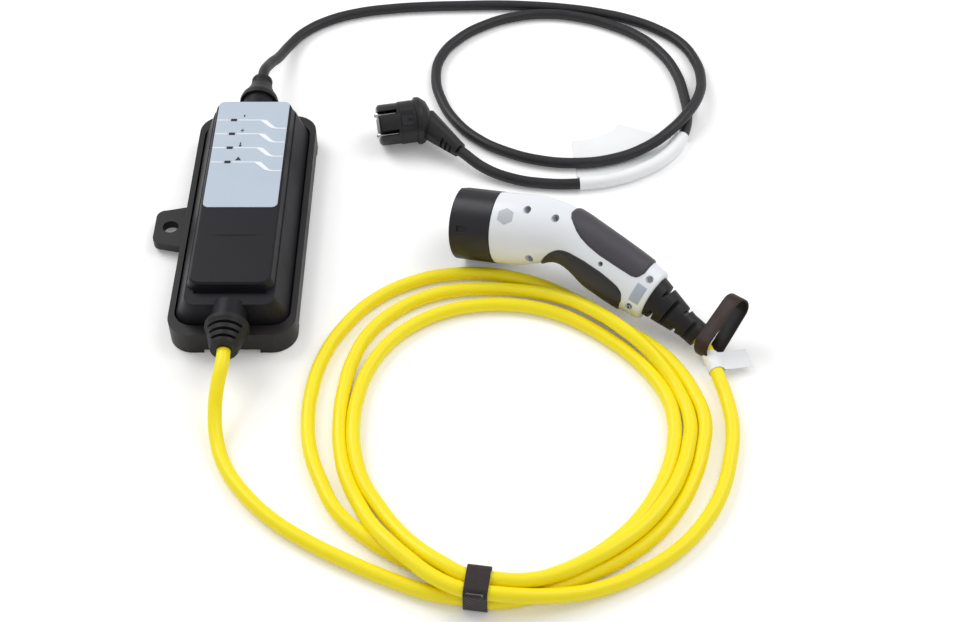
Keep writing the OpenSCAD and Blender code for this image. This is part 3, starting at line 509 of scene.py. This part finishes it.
CHARGE_LEAD: list[Point] = [
    (0, -163.8, 34.5), (0, -175, 34), (-3, -194, 26), (-4, -213, 15.5), (-1, -234, 8), (8, -258, 5.8),
    (24, -282, 5.8), (47, -306, 5.8), (76, -327, 5.8), (108, -345, 5.8), (141, -361, 5.8),
    (171, -373, 6.5), (195.3, -378, 7.25), (204.4, -379.4, 7.25), (213.4, -380.6, 7.1)]
OUTER_TURN: list[Point] = [
    (238, -377.5, 5.8), (262, -368.5, 5.8), (290, -356, 5.8), (316, -341, 5.8), (339, -322, 5.8),
    (358, -298, 5.8), (372, -271, 5.8), (381.5, -242, 5.8), (386, -212, 5.8), (380, -184, 5.8),
    (367, -156, 5.8), (350, -134.5, 5.8), (329, -117, 5.8), (308, -98.5, 5.8), (284, -80, 5.8),
    (257, -64, 5.8), (231, -55, 5.8), (206, -51, 5.8), (180, -52, 5.8), (154, -58.5, 5.8), (117, -81, 5.8),
    (90, -116, 5.8), (76, -149, 5.8), (70, -181, 5.8), (69, -212, 5.8), (73, -242, 5.8), (83, -271, 5.8),
    (97, -299, 5.8), (117, -320, 5.8), (151, -344, 5.8), (176, -357, 6.5), (197.3, -366, 7.25),
    (206.2, -367.4, 7.25), (215.1, -368.6, 7.1)]
INNER_TURN: list[Point] = [
    (238, -365, 6), (262, -356.5, 5.8), (286, -344.5, 5.8), (308, -328, 5.8), (327, -308, 5.8),
    (342, -285, 5.8), (353, -261, 5.8), (359.5, -237, 5.8), (361.5, -212, 5.8), (357.5, -188, 5.8),
    (346.5, -164.5, 5.8), (331, -143.5, 5.8), (313.5, -126, 5.8), (295, -111, 5.8), (274, -98.5, 5.8),
    (251.5, -90.5, 5.8), (231, -87.5, 5.8), (211, -87.5, 5.8), (180, -94, 5.8), (152, -109, 5.8),
    (130, -131, 5.8), (115, -159, 5.8), (107.5, -190, 6.5), (105.8, -218, 8), (108.5, -246, 7.5),
    (116, -271.5, 6), (128.5, -294, 6), (142, -315, 8), (160, -338, 14), (178, -354, 18),
    (197.3, -366, 18.75), (206.2, -367.4, 18.75), (215.1, -368.6, 18.5)]
MIDDLE_TURN: list[Point] = [
    (240, -369, 17), (264, -362.5, 15.6), (288, -350.5, 15.4), (312, -334.5, 14.6), (333, -315, 12.8),
    (350, -291.5, 11.2), (362.5, -266, 9.8), (370.5, -239.5, 8.4), (374, -212, 6.3), (368.5, -186, 6.5),
    (357.5, -162, 9), (341.5, -140.5, 14), (322, -121.5, 17), (302.5, -104.5, 17), (279.5, -87.5, 13.5),
    (254.5, -76.5, 9.2), (231, -70, 5.9), (208.5, -69, 5.8), (188, -70.5, 5.8), (165, -76.5, 5.8),
    (138, -92, 5.8), (115, -117, 5.8), (102, -147, 5.8), (96, -180, 5.8), (94.5, -212, 5.8),
    (97, -243, 5.8), (104, -271, 5.8), (115.5, -296, 6), (124, -313, 10), (137, -333, 17),
    (154, -351, 18.75), (174, -367.5, 18.75), (195.6, -378, 18.75), (204.5, -379.4, 18.75),
    (213.3, -380.6, 18.75)]
CHARGE_TAIL: list[Point] = [
    (233, -382, 17.5), (262, -379, 12.5), (294, -370.5, 7.5), (325, -356, 5.8), (353, -337, 5.8),
    (376, -312, 5.8), (393, -282, 5.8), (403, -249, 5.8), (407.5, -221, 5.8), (406.5, -197, 6),
    (403, -177.5, 7.5), (399.5, -164, 9), (395.9, -151.5, 10.5), (391.8, -140, 11.8), (387, -130, 12.8)]


@dataclass
class PaperFlag:
    """A paper flag folded round a cable, with both halves of the sheet together in a wing at one side.

    Attributes:
        name: the piece's name.
        node: the CAD node that it replaces.
        first: first knot of the cable that it covers.
        last: last knot that it covers.
        centre: a point in mm, which the wing points to.
        section: offsets towards that point and heights over the cable's middle along the sheet, in mm.
        trim: tenths of a span that it stops short of the last knot.
        upper_z: least height of the sheet's upper half over the floor in mm.
        lower_z: least height of its lower half.
    """

    name: str
    node: str
    first: int
    last: int
    centre: Point
    section: list[tuple[float, float]]
    trim: int = 0
    upper_z: float = 0.3
    lower_z: float = 0.12

    def build(self, cable: Cable, lead: bpy.types.Object) -> bpy.types.Object:
        """Sweeps the folded sheet along the lead.

        Args:
            cable: the lead's route.
            lead: the lead's curve object.

        Returns:
            The flag.
        """
        run = cable.stretch(lead, self.first, self.last)
        run = run[:len(run) - self.trim]
        bm = bmesh.new()
        bmesh.ops.create_grid(bm, x_segments=len(run) - 1, y_segments=len(self.section) - 1, size=1.0)
        for vert in bm.verts:
            row = round((vert.co.x + 1) / 2 * (len(run) - 1))
            column = round((vert.co.y + 1) / 2 * (len(self.section) - 1))
            offset, height = self.section[column]
            here = run[row]
            ahead = (run[min(row + 1, len(run) - 1)] - run[max(row - 1, 0)]).normalized()
            inner = Vector((-ahead.y, ahead.x, 0.0)).normalized()
            if inner.dot(Vector(self.centre) * MM - here) < 0:
                inner = -inner
            least = self.upper_z if column < len(self.section) / 2 else self.lower_z
            rise = max(here.z + height * MM, least * MM)
            vert.co = Vector((here.x + inner.x * offset * MM, here.y + inner.y * offset * MM, rise))
        bmesh.ops.recalc_face_normals(bm, faces=bm.faces)
        flag = make_object(self.name, bm, TAG_PAPER, 60.0)
        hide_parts(self.node)
        return flag


MAINS_FOLD: list[tuple[float, float]] = [
    (64, -5.2), (45, -5.2), (26, -5.2), (17, -5), (12, -3.9), (8.6, -0.7), (5.9, 2.9), (3, 5.1), (0, 5.8),
    (-3, 5.1), (-5.3, 2.9), (-6.2, -0.1), (-5.4, -3.1), (-3, -5), (0, -5.4), (17, -5.4), (45, -5.4),
    (64, -5.4)]
CABLE_FOLD: list[tuple[float, float]] = [
    (33, -4), (20, -1.8), (11, -0.3), (7.4, 0.9), (5.4, 3.6), (3, 5.7), (0, 6.4), (-3, 5.7), (-5.3, 3.6),
    (-6.4, 0), (-5.3, -3.6), (-3, -5.7), (0, -6.4), (3, -5.7), (5.6, -3.5), (7.6, -0.2), (11, -0.7),
    (20, -2.2), (33, -4.4)]


@dataclass
class CableStrap:
    """The loose rubber strap, a loop of band that hangs on the cable behind the bend relief.

    Attributes:
        at: middle of the loop's near end in mm.
        lift: direction of the loop from there.
        axis: direction across the band.
        near_r: radius of the near end in mm.
        far_r: radius of the far end in mm.
        length: distance between the two ends' middles in mm.
        width: width of the band in mm.
        thick: its thickness in mm.
    """

    at: Point = (410.0, -139.6, 14.7)
    lift: Point = (0.55, 0.641, 0.535)
    axis: Point = (0.63, -0.739, 0.237)
    near_r: float = 12.0
    far_r: float = 10.0
    length: float = 36.5
    width: float = 14.0
    thick: float = 1.5

    def outline(self, share: float) -> tuple[float, float]:
        """Point of the loop's outline, along the lift and across it.

        Args:
            share: place along the outline from zero to one.

        Returns:
            The two coordinates in mm.
        """
        turn = math.acos((self.near_r - self.far_r) / self.length)
        if share < 0.5:
            angle = turn + (2 * math.pi - 2 * turn) * share / 0.5
            return self.near_r * math.cos(angle), self.near_r * math.sin(angle)
        angle = -turn + 2 * turn * (share - 0.5) / 0.5
        return self.length + self.far_r * math.cos(angle), self.far_r * math.sin(angle)

    def build(self) -> bpy.types.Object:
        """Bends a ring to the outline, pulls it out to a band and thickens it.

        Returns:
            The strap.
        """
        count = 96
        lift = Vector(self.lift).normalized()
        axis = Vector(self.axis).normalized()
        across = lift.cross(axis)
        bm = bmesh.new()
        loop = bmesh.ops.create_circle(bm, cap_ends=False, segments=count, radius=0.02)["verts"]
        for k, vert in enumerate(loop):
            along, side = self.outline((k + 0.5) / count)
            vert.co = (Vector(self.at) + lift * along + across * side - axis * self.width / 2) * MM
        grown = bmesh.ops.extrude_edge_only(bm, edges=bm.edges[:])["geom"]
        far = [v for v in grown if isinstance(v, bmesh.types.BMVert)]
        bmesh.ops.translate(bm, verts=far, vec=axis * self.width * MM)
        bmesh.ops.recalc_face_normals(bm, faces=bm.faces)
        bmesh.ops.solidify(bm, geom=bm.faces[:], thickness=self.thick * MM)
        bmesh.ops.recalc_face_normals(bm, faces=bm.faces)
        round_edges(bm, 0.35, 2, 60.0)
        strap = make_object("strap_band", bm, STRAP_RUBBER, 50.0)
        # The faces that look into the loop get the black finish: painted shade
        paint_shade_inside(strap, STRAP_PAINTED_SHADE)
        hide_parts("cable_strap")
        return strap


@dataclass
class VehicleConnector:
    """The bent vehicle connector's white housing, its grips and plate, as skins on one bent axis.

    Attributes:
        at: middle of the nose's mouth in mm.
        yaw: turn about the vertical in degrees.
        pitch: rise of its axis towards the handle in degrees.
        roll: turn about its own axis in degrees.
        nose_l: length of the black nose in mm.
        bend_u: where the handle's line meets the nose's, from the mouth, in mm.
        bend_angle: angle of the handle in degrees.
        bend_r: radius of the bend in mm.
        handle_l: length from the bend to the handle's end in mm.
        half_v: reach of the outer side in the bend's plane by distance along the axis.
        half_in: reach of the inner side, hollowed for the fingers.
        half_w: half height across that plane.
        flat_v: distance of the flat from the axis.
        recesses: screw wells as distance, offset in the bend's plane, and diameter.
    """

    at: Point = (190.3 + BOX_X, -13.7, 31.4)
    yaw: float = -19.0
    pitch: float = 9.0
    roll: float = 50.0
    nose_l: float = 36.0
    bend_u: float = 91.0
    bend_angle: float = 26.0
    bend_r: float = 65.0
    handle_l: float = 95.5
    half_v: list[tuple[float, float]] = field(default_factory=lambda: [
        (0, 31.5), (56, 32), (77, 30.5), (90, 28), (106, 27.3), (132, 26.7), (152, 26), (170, 25),
        (186, 22.5)])
    half_in: list[tuple[float, float]] = field(default_factory=lambda: [
        (0, 31.5), (50, 31), (62, 29.5), (74, 26.8), (88, 22.5), (100, 20.3), (112, 20.3), (122, 23),
        (130, 25), (156, 25.3), (172, 24.5), (186, 23)])
    half_w: list[tuple[float, float]] = field(default_factory=lambda: [
        (0, 31.5), (55, 31), (80, 28.5), (95, 25.5), (112, 23), (140, 20.8), (170, 19.6), (190, 19)])
    flat_v: list[tuple[float, float]] = field(default_factory=lambda: [
        (0, 30), (50, 30.3), (75, 31), (88, 40)])
    recesses: list[tuple[float, float, float]] = field(default_factory=lambda: [
        (66, 19, 6.5), (88, 16, 6.5), (70, -22, 6.5), (137, 2, 4.2), (178, 13, 6.5), (175, -16, 6.5)])

    def build(self) -> list[bpy.types.Object]:
        """Makes the skins, softens the nose and the relief, and dresses what is in them.

        Returns:
            The connector's pieces.
        """
        made = [self.build_housing()] + self.build_grips()
        made.append(soften("nose_shroud", NOSE_PLASTIC, 0.9, 3))
        made.append(soften("bend_relief", RELIEF_RUBBER, 0.7, 2))
        for node, finish in {"contact_carrier": CARRIER_PLASTIC, "contact_tubes": CARRIER_PLASTIC,
                             "power_contacts": CONTACT_SILVER, "signal_contacts": CONTACT_SILVER,
                             "housing_screws": SCREW_STEEL, "cable_clamp": CARRIER_PLASTIC}.items():
            made.append(dress(node, finish))
        return made

    @property
    def bend_start(self) -> float:
        """Where the axis starts to turn."""
        return self.bend_u - self.bend_r * math.tan(math.radians(self.bend_angle / 2))

    @property
    def end(self) -> float:
        """Length of the axis to the handle's end."""
        arc = self.bend_r * math.radians(self.bend_angle)
        cut = self.bend_r * math.tan(math.radians(self.bend_angle / 2))
        return self.bend_start + arc + self.handle_l - cut

    @staticmethod
    def look(table: list[tuple[float, float]], s: float) -> float:
        """Value of a table at s, on straight lines between its rows.

        Args:
            table: rows of distance and value.
            s: the distance.

        Returns:
            The value there.
        """
        if s <= table[0][0]:
            return table[0][1]
        for (s0, v0), (s1, v1) in zip(table, table[1:]):
            if s <= s1:
                return v0 + (v1 - v0) * (s - s0) / (s1 - s0)
        return table[-1][1]

    def eased(self, table: list[tuple[float, float]], s: float) -> float:
        """Table value averaged over a short stretch, so that the skin has no creases."""
        return sum(self.look(table, s + d) for d in (-6, -4, -2, 0, 2, 4, 6)) / 7

    def place(self, u: float, v: float, w: float) -> Vector:
        """Point of the connector's own frame in metres, in the part's frame."""
        return (Vector(self.at) + self.turned() @ Vector((u, v, w))) * MM

    def turned(self) -> Matrix:
        """Turn of the connector from its own frame to the part's."""
        return (Matrix.Rotation(math.radians(self.yaw), 4, "Z")
                @ Matrix.Rotation(math.radians(-self.pitch), 4, "Y")
                @ Matrix.Rotation(math.radians(self.roll), 4, "X"))

    def axis(self, s: float) -> tuple[float, float, float]:
        """Point of the bent axis and its turn there.

        Args:
            s: distance along the axis in mm.

        Returns:
            The two coordinates in the bend's plane, and the turn in radians.
        """
        full = math.radians(self.bend_angle)
        turn = min(max(s - self.bend_start, 0.0) / self.bend_r, full)
        past = max(s - self.bend_start - self.bend_r * full, 0.0)
        u = min(s, self.bend_start) + self.bend_r * math.sin(turn) + past * math.cos(turn)
        v = -self.bend_r * (1 - math.cos(turn)) - past * math.sin(turn)
        return u, v, turn

    def skin(self, s: float, angle: float, out: float) -> Vector:
        """Point of the housing's skin.

        Args:
            s: distance along the axis in mm.
            angle: degrees round the axis from the flat's side.
            out: distance outside the skin in mm.

        Returns:
            The point in metres.
        """
        u, v, turn = self.axis(s)
        side = math.radians(angle)
        reach = self.eased(self.half_v if math.cos(side) > 0 else self.half_in, s) + out
        across = min(reach * math.cos(side), self.eased(self.flat_v, s) + out)
        up = (self.eased(self.half_w, s) + out) * math.sin(side)
        return self.place(u + across * math.sin(turn), v + across * math.cos(turn), up)

    def build_housing(self) -> bpy.types.Object:
        """Lofts the white housing by extruding a ring along the axis, and sinks the screw wells.

        Returns:
            The housing, which stands for both CAD halves.
        """
        count = 84
        bm = bmesh.new()
        loop = bmesh.ops.create_circle(bm, cap_ends=False, segments=count, radius=0.01)["verts"]
        stations = [(self.nose_l + 0.2, -2.0), (self.nose_l + 0.2, -0.6), (self.nose_l + 0.8, 0.0)]
        steps = 46
        last = self.end - 2.6
        stations += [(self.nose_l + 3 + (last - self.nose_l - 3) * k / steps, 0.0) for k in range(steps + 1)]
        stations += [(last + 1.1, -0.25), (last + 1.9, -0.8), (last + 2.4, -1.6), (last + 2.6, -3.0)]
        rings = []
        for index, (s, out) in enumerate(stations):
            if index:
                edges = [bm.edges.get((loop[k], loop[(k + 1) % count])) for k in range(count)]
                grown = bmesh.ops.extrude_edge_only(bm, edges=edges)["geom"]
                fresh = {v for v in grown if isinstance(v, bmesh.types.BMVert)}
                loop = [next(e.other_vert(v) for e in v.link_edges if e.other_vert(v) in fresh) for v in loop]
            for k, vert in enumerate(loop):
                vert.co = self.skin(s, 360.0 * (k + 0.5) / count, out)
            rings.append(loop)
        for ring in (rings[0], rings[-1]):
            rim = [bm.edges.get((ring[k], ring[(k + 1) % count])) for k in range(count)]
            bmesh.ops.contextual_create(bm, geom=rim)
        bmesh.ops.recalc_face_normals(bm, faces=bm.faces)
        housing = make_object("connector_housing", bm, HOUSING_WHITE, 42.0)
        self.sink_wells(housing)
        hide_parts("housing_top", "housing_base")
        return housing

    def sink_wells(self, housing: bpy.types.Object) -> None:
        """Cuts the screw wells into the housing.

        Args:
            housing: the lofted housing.
        """
        bm = bmesh.new()
        for s, off, width in self.recesses:
            u, v, turn = self.axis(s)
            middle = self.place(u + off * math.sin(turn), v + off * math.cos(turn), 28.0)
            bmesh.ops.create_cone(bm, cap_ends=True, segments=28, radius1=width / 2 * MM,
                                  radius2=width / 2 * MM, depth=34 * MM,
                                  matrix=Matrix.Translation(middle) @ self.turned())
        mesh = bpy.data.meshes.new("well_cutter")
        bm.to_mesh(mesh)
        bm.free()
        cutter = bpy.data.objects.new("well_cutter", mesh)
        bpy.context.scene.collection.objects.link(cutter)
        cut = housing.modifiers.new("wells", "BOOLEAN")
        cut.operation = "DIFFERENCE"
        cut.solver = "EXACT"
        cut.object = cutter
        bpy.context.view_layer.update()
        done = bpy.data.meshes.new_from_object(housing.evaluated_get(bpy.context.evaluated_depsgraph_get()))
        housing.modifiers.clear()
        housing.data = done
        for polygon in done.polygons:
            polygon.use_smooth = True
        done.set_sharp_from_angle(angle=math.radians(42.0))
        bpy.data.objects.remove(cutter)

    def patch(self, name: str, edge: list[tuple[float, float]], middle: float, height: float, finish: Finish,
              rows: int = 60, columns: int = 40) -> bpy.types.Object:
        """Raised soft patch on the housing, symmetric about one angle.

        Args:
            name: the piece's name.
            edge: rows of distance along the axis and half angle in degrees.
            middle: angle of the patch's middle line.
            height: height above the housing in mm.
            finish: its finish.
            rows: divisions along the axis.
            columns: divisions round the axis.

        Returns:
            The patch.
        """
        bm = bmesh.new()
        bmesh.ops.create_grid(bm, x_segments=rows, y_segments=columns, size=1.0, calc_uvs=True)
        s0 = edge[0][0]
        s1 = edge[-1][0]
        for vert in bm.verts:
            along = (vert.co.x + 1) / 2
            across = vert.co.y
            s = s0 + (s1 - s0) * (1 - math.cos(along * math.pi)) / 2
            half = self.look(edge, s)
            reach = math.sin(across * math.pi / 2)
            rim = min(1.0, (1.0 - abs(reach)) * half / 5.0, (s - s0) / 2.2, (s1 - s) / 2.2)
            lift = height * math.sin(max(rim, 0.0) * math.pi / 2) - 0.25 * (rim <= 0.0)
            vert.co = self.skin(s, middle + half * reach, lift)
        bmesh.ops.recalc_face_normals(bm, faces=bm.faces)
        inward = self.place(*self.axis((s0 + s1) / 2)[:2], 0.0)
        bm.faces.ensure_lookup_table()
        sample = bm.faces[len(bm.faces) // 2]
        if sample.normal.dot(sample.calc_center_median() - inward) < 0:
            bmesh.ops.reverse_faces(bm, faces=bm.faces)
        return make_object(name, bm, finish, 60.0)

    def build_grips(self) -> list[bpy.types.Object]:
        """Makes the two soft grips and the grey plate.

        Returns:
            The three pieces.
        """
        back = self.patch("connector_back_grip", [
            (95, 30), (97, 42), (100, 50), (105, 60), (111, 66), (120, 71), (132, 74), (151, 74), (164, 73),
            (168, 70), (170, 64), (172, 52)], 0.0, 1.3, GRIP_GREY)
        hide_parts("back_grip")
        front = self.patch("connector_front_grip", [
            (77, 8), (80, 20), (85, 35), (90, 48), (95, 60), (99, 68), (104, 74), (110, 78), (124, 82),
            (140, 82), (152, 79), (159, 76), (163, 71), (165, 66), (167, 52)], 180.0, 1.3, GRIP_BLACK)
        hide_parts("front_grip")
        plate = self.patch("connector_plate", [(171.5, 21), (181.5, 21)], 95.0, 0.35, PLATE_FOIL, 8, 12)
        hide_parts("rating_plate")
        return [back, front, plate, self.build_badge()]

    def build_badge(self) -> bpy.types.Object:
        """Makes the bare hexagon badge on the housing's front side.

        Returns:
            The badge.
        """
        bm = bmesh.new()
        bmesh.ops.create_circle(bm, cap_ends=True, segments=6, radius=7.6)
        bmesh.ops.poke(bm, faces=bm.faces[:])
        bmesh.ops.subdivide_edges(bm, edges=bm.edges, cuts=5, use_grid_fill=True)
        for vert in bm.verts:
            lift = 0.28 if vert.co.length < 6.2 else 0.1
            vert.co = self.skin(49.0 + vert.co.x, 68.0 - math.degrees(vert.co.y / 31.5), lift)
        bmesh.ops.recalc_face_normals(bm, faces=bm.faces)
        inward = self.place(49.0, 0.0, 0.0)
        for face in bm.faces:
            if face.normal.dot(face.calc_center_median() - inward) < 0:
                face.normal_flip()
        badge = make_object("connector_badge", bm, BADGE_GREY, 60.0)
        return badge


@dataclass
class MainsPlug:
    """The angled mains plug with its two pins.

    Attributes:
        turn: way that its front looks, in degrees from +X.
        pin_draw: length in mm by which the pins are drawn out, so that their tips show past the guard.
    """

    turn: float = 191.0
    pin_draw: float = 3.5

    def build(self) -> list[bpy.types.Object]:
        """Softens the rubber mouldings and dresses the metal.

        Returns:
            The plug's pieces.
        """
        return [soften("plug_body", PLUG_RUBBER, 0.7, 2),
                soften("pin_guard", PLUG_RUBBER, 0.6, 2),
                # The earth clips' steel is darkened as painted shade
                self.build_pins(), dress("earth_clips", CLIP_SHADED_STEEL)]

    def build_pins(self) -> bpy.types.Object:
        """Draws the pins' tips out of the guard and rounds them.

        Returns:
            The pins.
        """
        bm = merged_copy("plug_pins")
        ahead = Vector((math.cos(math.radians(self.turn)), math.sin(math.radians(self.turn)), 0.0))
        reach = [v.co.dot(ahead) for v in bm.verts]
        middle = (min(reach) + max(reach)) / 2
        tips = [v for v in bm.verts if v.co.dot(ahead) > middle]
        bmesh.ops.translate(bm, verts=tips, vec=ahead * self.pin_draw * MM)
        round_edges(bm, 0.9, 3, 60.0)
        pins = make_object("plug_pins_rounded", bm, PIN_NICKEL, 40.0)
        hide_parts("plug_pins")
        return pins


@dataclass
class ControlBox:
    """The control box with its label and lights.

    Attributes:
        light_pitch: distance between the lights in mm.
        line_w: width of the pale lines in mm.
        line_gap: distance from a light's middle to the line's ends beside it, in mm.
        sign_scale: size of the signs against their drawn outlines.
    """

    light_pitch: float = 18.5
    line_w: float = 1.0
    line_gap: float = 4.2
    sign_scale: float = 1.25

    def build(self) -> list[bpy.types.Object]:
        """Softens the shells and dresses what is on and in the box.

        Returns:
            The charge gland and the mains gland.
        """
        soften("base_tray", BOX_PLASTIC, 1.6, 4)
        soften("top_cover", PANEL_PLASTIC, 1.2, 3, 22.0)
        mains = soften("mains_gland", RELIEF_RUBBER, 0.6, 2, 28.0)
        charge = soften("charge_gland", RELIEF_RUBBER, 0.5, 2, 30.0)
        dress("front_label", LABEL_FILM)
        dress("light_guides", LIGHT_LENS)
        for node, finish in {
                "cover_gasket": GASKET, "circuit_board": BOARD, "status_leds": LED_RESIN,
                "power_relays": RELAY_CASE, "current_sensor": CORE_COAT, "supply_transformer": TAPE,
                "filter_capacitors": CAN_SLEEVE, "mains_terminals": TERMINAL, "charge_terminals": TERMINAL,
                "case_screws": SCREW_STEEL}.items():
            dress(node, finish)
        self.build_lines()
        return [charge, mains]

    def build_lines(self) -> None:
        """Prints the four pale lines that run from the label's left edge and step down beyond the lights."""
        low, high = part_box("front_label")
        lights_low, lights_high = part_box("light_guides")
        top = high.z + 0.05 * MM
        light = (lights_low.x + lights_high.x) / 2
        half = self.line_w / 2 * MM
        clear = self.line_gap * MM
        left = low.x + 0.6 * MM
        knee = low.x + 41 * MM
        foot = low.x + 54 * MM
        right = high.x - 0.6 * MM
        bm = bmesh.new()
        for index in range(4):
            y = (lights_low.y + lights_high.y) / 2 + (1.5 - index) * self.light_pitch * MM
            down = y - 11 * MM
            upper = [(light + clear, y + half), (knee, y + half), (knee + 4 * MM, y - 0.2 * MM),
                     (foot - 1 * MM, down + 1.6 * MM), (foot + 2 * MM, down + half), (right, down + half)]
            lower = [(right, down - half), (foot, down - half), (foot - 5 * MM, down + 1.0 * MM),
                     (knee, y - 2.0 * MM), (knee - 1.5 * MM, y - half), (light + clear, y - half)]
            stub = [(left, y + half), (light - clear, y + half), (light - clear, y - half), (left, y - half)]
            bm.faces.new([bm.verts.new((x, v, top)) for x, v in stub])
            bm.faces.new([bm.verts.new((x, v, top)) for x, v in upper + lower])
        bmesh.ops.recalc_face_normals(bm, faces=bm.faces)
        face_up(bm)
        lines = make_object("label_lines", bm, LABEL_LINE)
        self.build_signs(light, (lights_low.y + lights_high.y) / 2, top)

    def build_signs(self, light_x: float, middle_y: float, top: float) -> None:
        """Prints a small plain sign beside each light: on, charging, temperature and fault.

        Args:
            light_x: where the lights stand across the label, in metres.
            middle_y: middle of the row of lights, in metres.
            top: height of the print, in metres.
        """
        outlines = [
            [(-0.5, 2.2), (0.5, 2.2), (0.5, -0.2), (-0.5, -0.2)],
            [(0.6, 2.2), (-1.6, -0.4), (-0.2, -0.4), (-0.8, -2.2), (1.6, 0.5), (0.2, 0.5)],
            [(-0.45, 2.2), (0.45, 2.2), (0.45, -0.4), (1.1, -1.2), (0.7, -2.2), (-0.7, -2.2), (-1.1, -1.2),
             (-0.45, -0.4)],
            [(0, 2.1), (2.2, -1.9), (-2.2, -1.9)]]
        bm = bmesh.new()
        for index, outline in enumerate(outlines):
            x = light_x + 9 * MM
            y = middle_y + ((1.5 - index) * self.light_pitch + 4.4) * MM
            size = self.sign_scale * MM
            bm.faces.new([bm.verts.new((x + size * a, y + size * b, top)) for a, b in outline])
            if index == 0:
                ring = bmesh.ops.create_circle(bm, cap_ends=True, segments=24, radius=2.6 * MM,
                                               matrix=Matrix.Translation((x, y - 0.3 * MM, top)))["verts"]
                face = next(f for f in ring[0].link_faces if len(f.verts) == 24)
                bmesh.ops.inset_region(bm, faces=[face], thickness=0.75 * MM, depth=0.0)
                bmesh.ops.delete(bm, geom=[face], context="FACES_ONLY")
        face_up(bm)
        signs = make_object("label_signs", bm, LABEL_SIGN)


@dataclass
class Studio:
    """Floor, light and camera.

    Attributes:
        camera_at: the camera's place in metres.
        tilt: its angle from straight down in degrees.
        lens: its focal length in mm on a sensor 36 mm wide.
        floor_lift: light that the floor adds for the camera alone, so that it reads white under its shadows.
        world_light: strength of the pale light from all round.
    """

    camera_at: Point = (0.2285, -1.0185, 1.032)
    tilt: float = 42.0
    lens: float = 59.9
    floor_lift: float = 0.12
    world_light: float = 0.56

    def build(self) -> None:
        """Makes the camera, floor, world and lamps."""
        data = bpy.data.cameras.new("camera")
        data.sensor_fit = "HORIZONTAL"
        data.sensor_width = 36.0
        data.lens = self.lens
        data.clip_start = 0.01
        camera = bpy.data.objects.new("camera", data)
        camera.location = self.camera_at
        camera.rotation_euler = (math.radians(self.tilt), 0.0, 0.0)
        bpy.context.scene.collection.objects.link(camera)
        bpy.context.scene.camera = camera
        bpy.context.scene.view_settings.view_transform = "Standard"
        self.build_floor()
        self.build_light()

    def build_floor(self) -> None:
        """Lays a wide pale floor under the part."""
        bm = bmesh.new()
        bmesh.ops.create_grid(bm, x_segments=8, y_segments=8, size=6.0)
        bmesh.ops.translate(bm, verts=bm.verts, vec=(0.2, 0.0, -0.0004))
        mesh = bpy.data.meshes.new("studio_floor")
        bm.to_mesh(mesh)
        bm.free()
        material = FLOOR_PAINT.build()
        tree = material.node_tree
        seen = add_node(tree, "ShaderNodeLightPath")
        lift = add_node(tree, "ShaderNodeMath", {"operation": "MULTIPLY"})
        tree.links.new(seen.outputs["Is Camera Ray"], lift.inputs[0])
        lift.inputs[1].default_value = self.floor_lift
        shader = tree.nodes["Principled BSDF"]
        shader.inputs["Emission Color"].default_value = srgb("#ffffff")
        tree.links.new(lift.outputs["Value"], shader.inputs["Emission Strength"])
        mesh.materials.append(material)
        floor = bpy.data.objects.new("studio_floor", mesh)
        bpy.context.scene.collection.objects.link(floor)

    def build_light(self) -> None:
        """Lights the scene with a pale world and two large soft lamps."""
        world = bpy.data.worlds.new("studio_world")
        bpy.context.scene.world = world
        world.use_nodes = True
        sky = world.node_tree.nodes["Background"]
        sky.inputs["Color"].default_value = srgb("#ffffff")
        sky.inputs["Strength"].default_value = self.world_light
        for name, place, size, power in (
                ("soft_box_left", (-1.3, 1.1, 1.9), 1.6, 30.0),
                ("soft_box_right", (1.6, 0.5, 2.0), 1.6, 19.0)):
            lamp = bpy.data.lights.new(name, "AREA")
            lamp.shape = "SQUARE"
            lamp.size = size
            lamp.energy = power
            obj = bpy.data.objects.new(name, lamp)
            obj.location = place
            aim = Vector((0.2, -0.05, 0.0)) - Vector(place)
            obj.rotation_euler = aim.to_track_quat("-Z", "Y").to_euler()
            bpy.context.scene.collection.objects.link(obj)


def build_cables(pieces: dict[str, list[bpy.types.Object]]) -> None:
    """Args:
        pieces: the separate pieces on each cable, by cable name.
    """
    black = Cable("mains_cable", MAINS_ROUTE, 10.0, MAINS_JACKET)
    lead = black.build()
    flag = PaperFlag("mains_flag", "mains_label", 44, 48, (281 + BOX_X, 200, 0), MAINS_FOLD)
    pieces["mains"].append(flag.build(black, lead))
    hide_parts("mains_lead")
    round(black.length(lead), 3)
    yellow = Cable("charging_cable", CHARGE_LEAD + OUTER_TURN + INNER_TURN + MIDDLE_TURN + CHARGE_TAIL, 11.5,
                   CHARGE_JACKET, 6)
    cable = yellow.build()
    last = len(yellow.route) - 1
    tag = PaperFlag("cable_tag", "cable_label", last - 3, last - 1, (470 + BOX_X, -120, 0), CABLE_FOLD, 7)
    pieces["charge"].append(tag.build(yellow, cable))
    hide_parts("charge_lead", "charge_coil", "charge_tail")
    round(yellow.length(cable), 3)


def main() -> None:
    """Builds the scene in order."""
    logging.basicConfig(level=logging.INFO)
    Studio().build()
    glands = ControlBox().build()
    connector = VehicleConnector().build()
    plug = MainsPlug().build()
    tie = soften("coil_tie", TIE_WEAVE, 0.6, 3)
    strap = CableStrap().build()
    build_cables({"charge": connector + [tie, strap, glands[0]], "mains": plug + [glands[1]]})


if __name__ == "__main__":
    main()
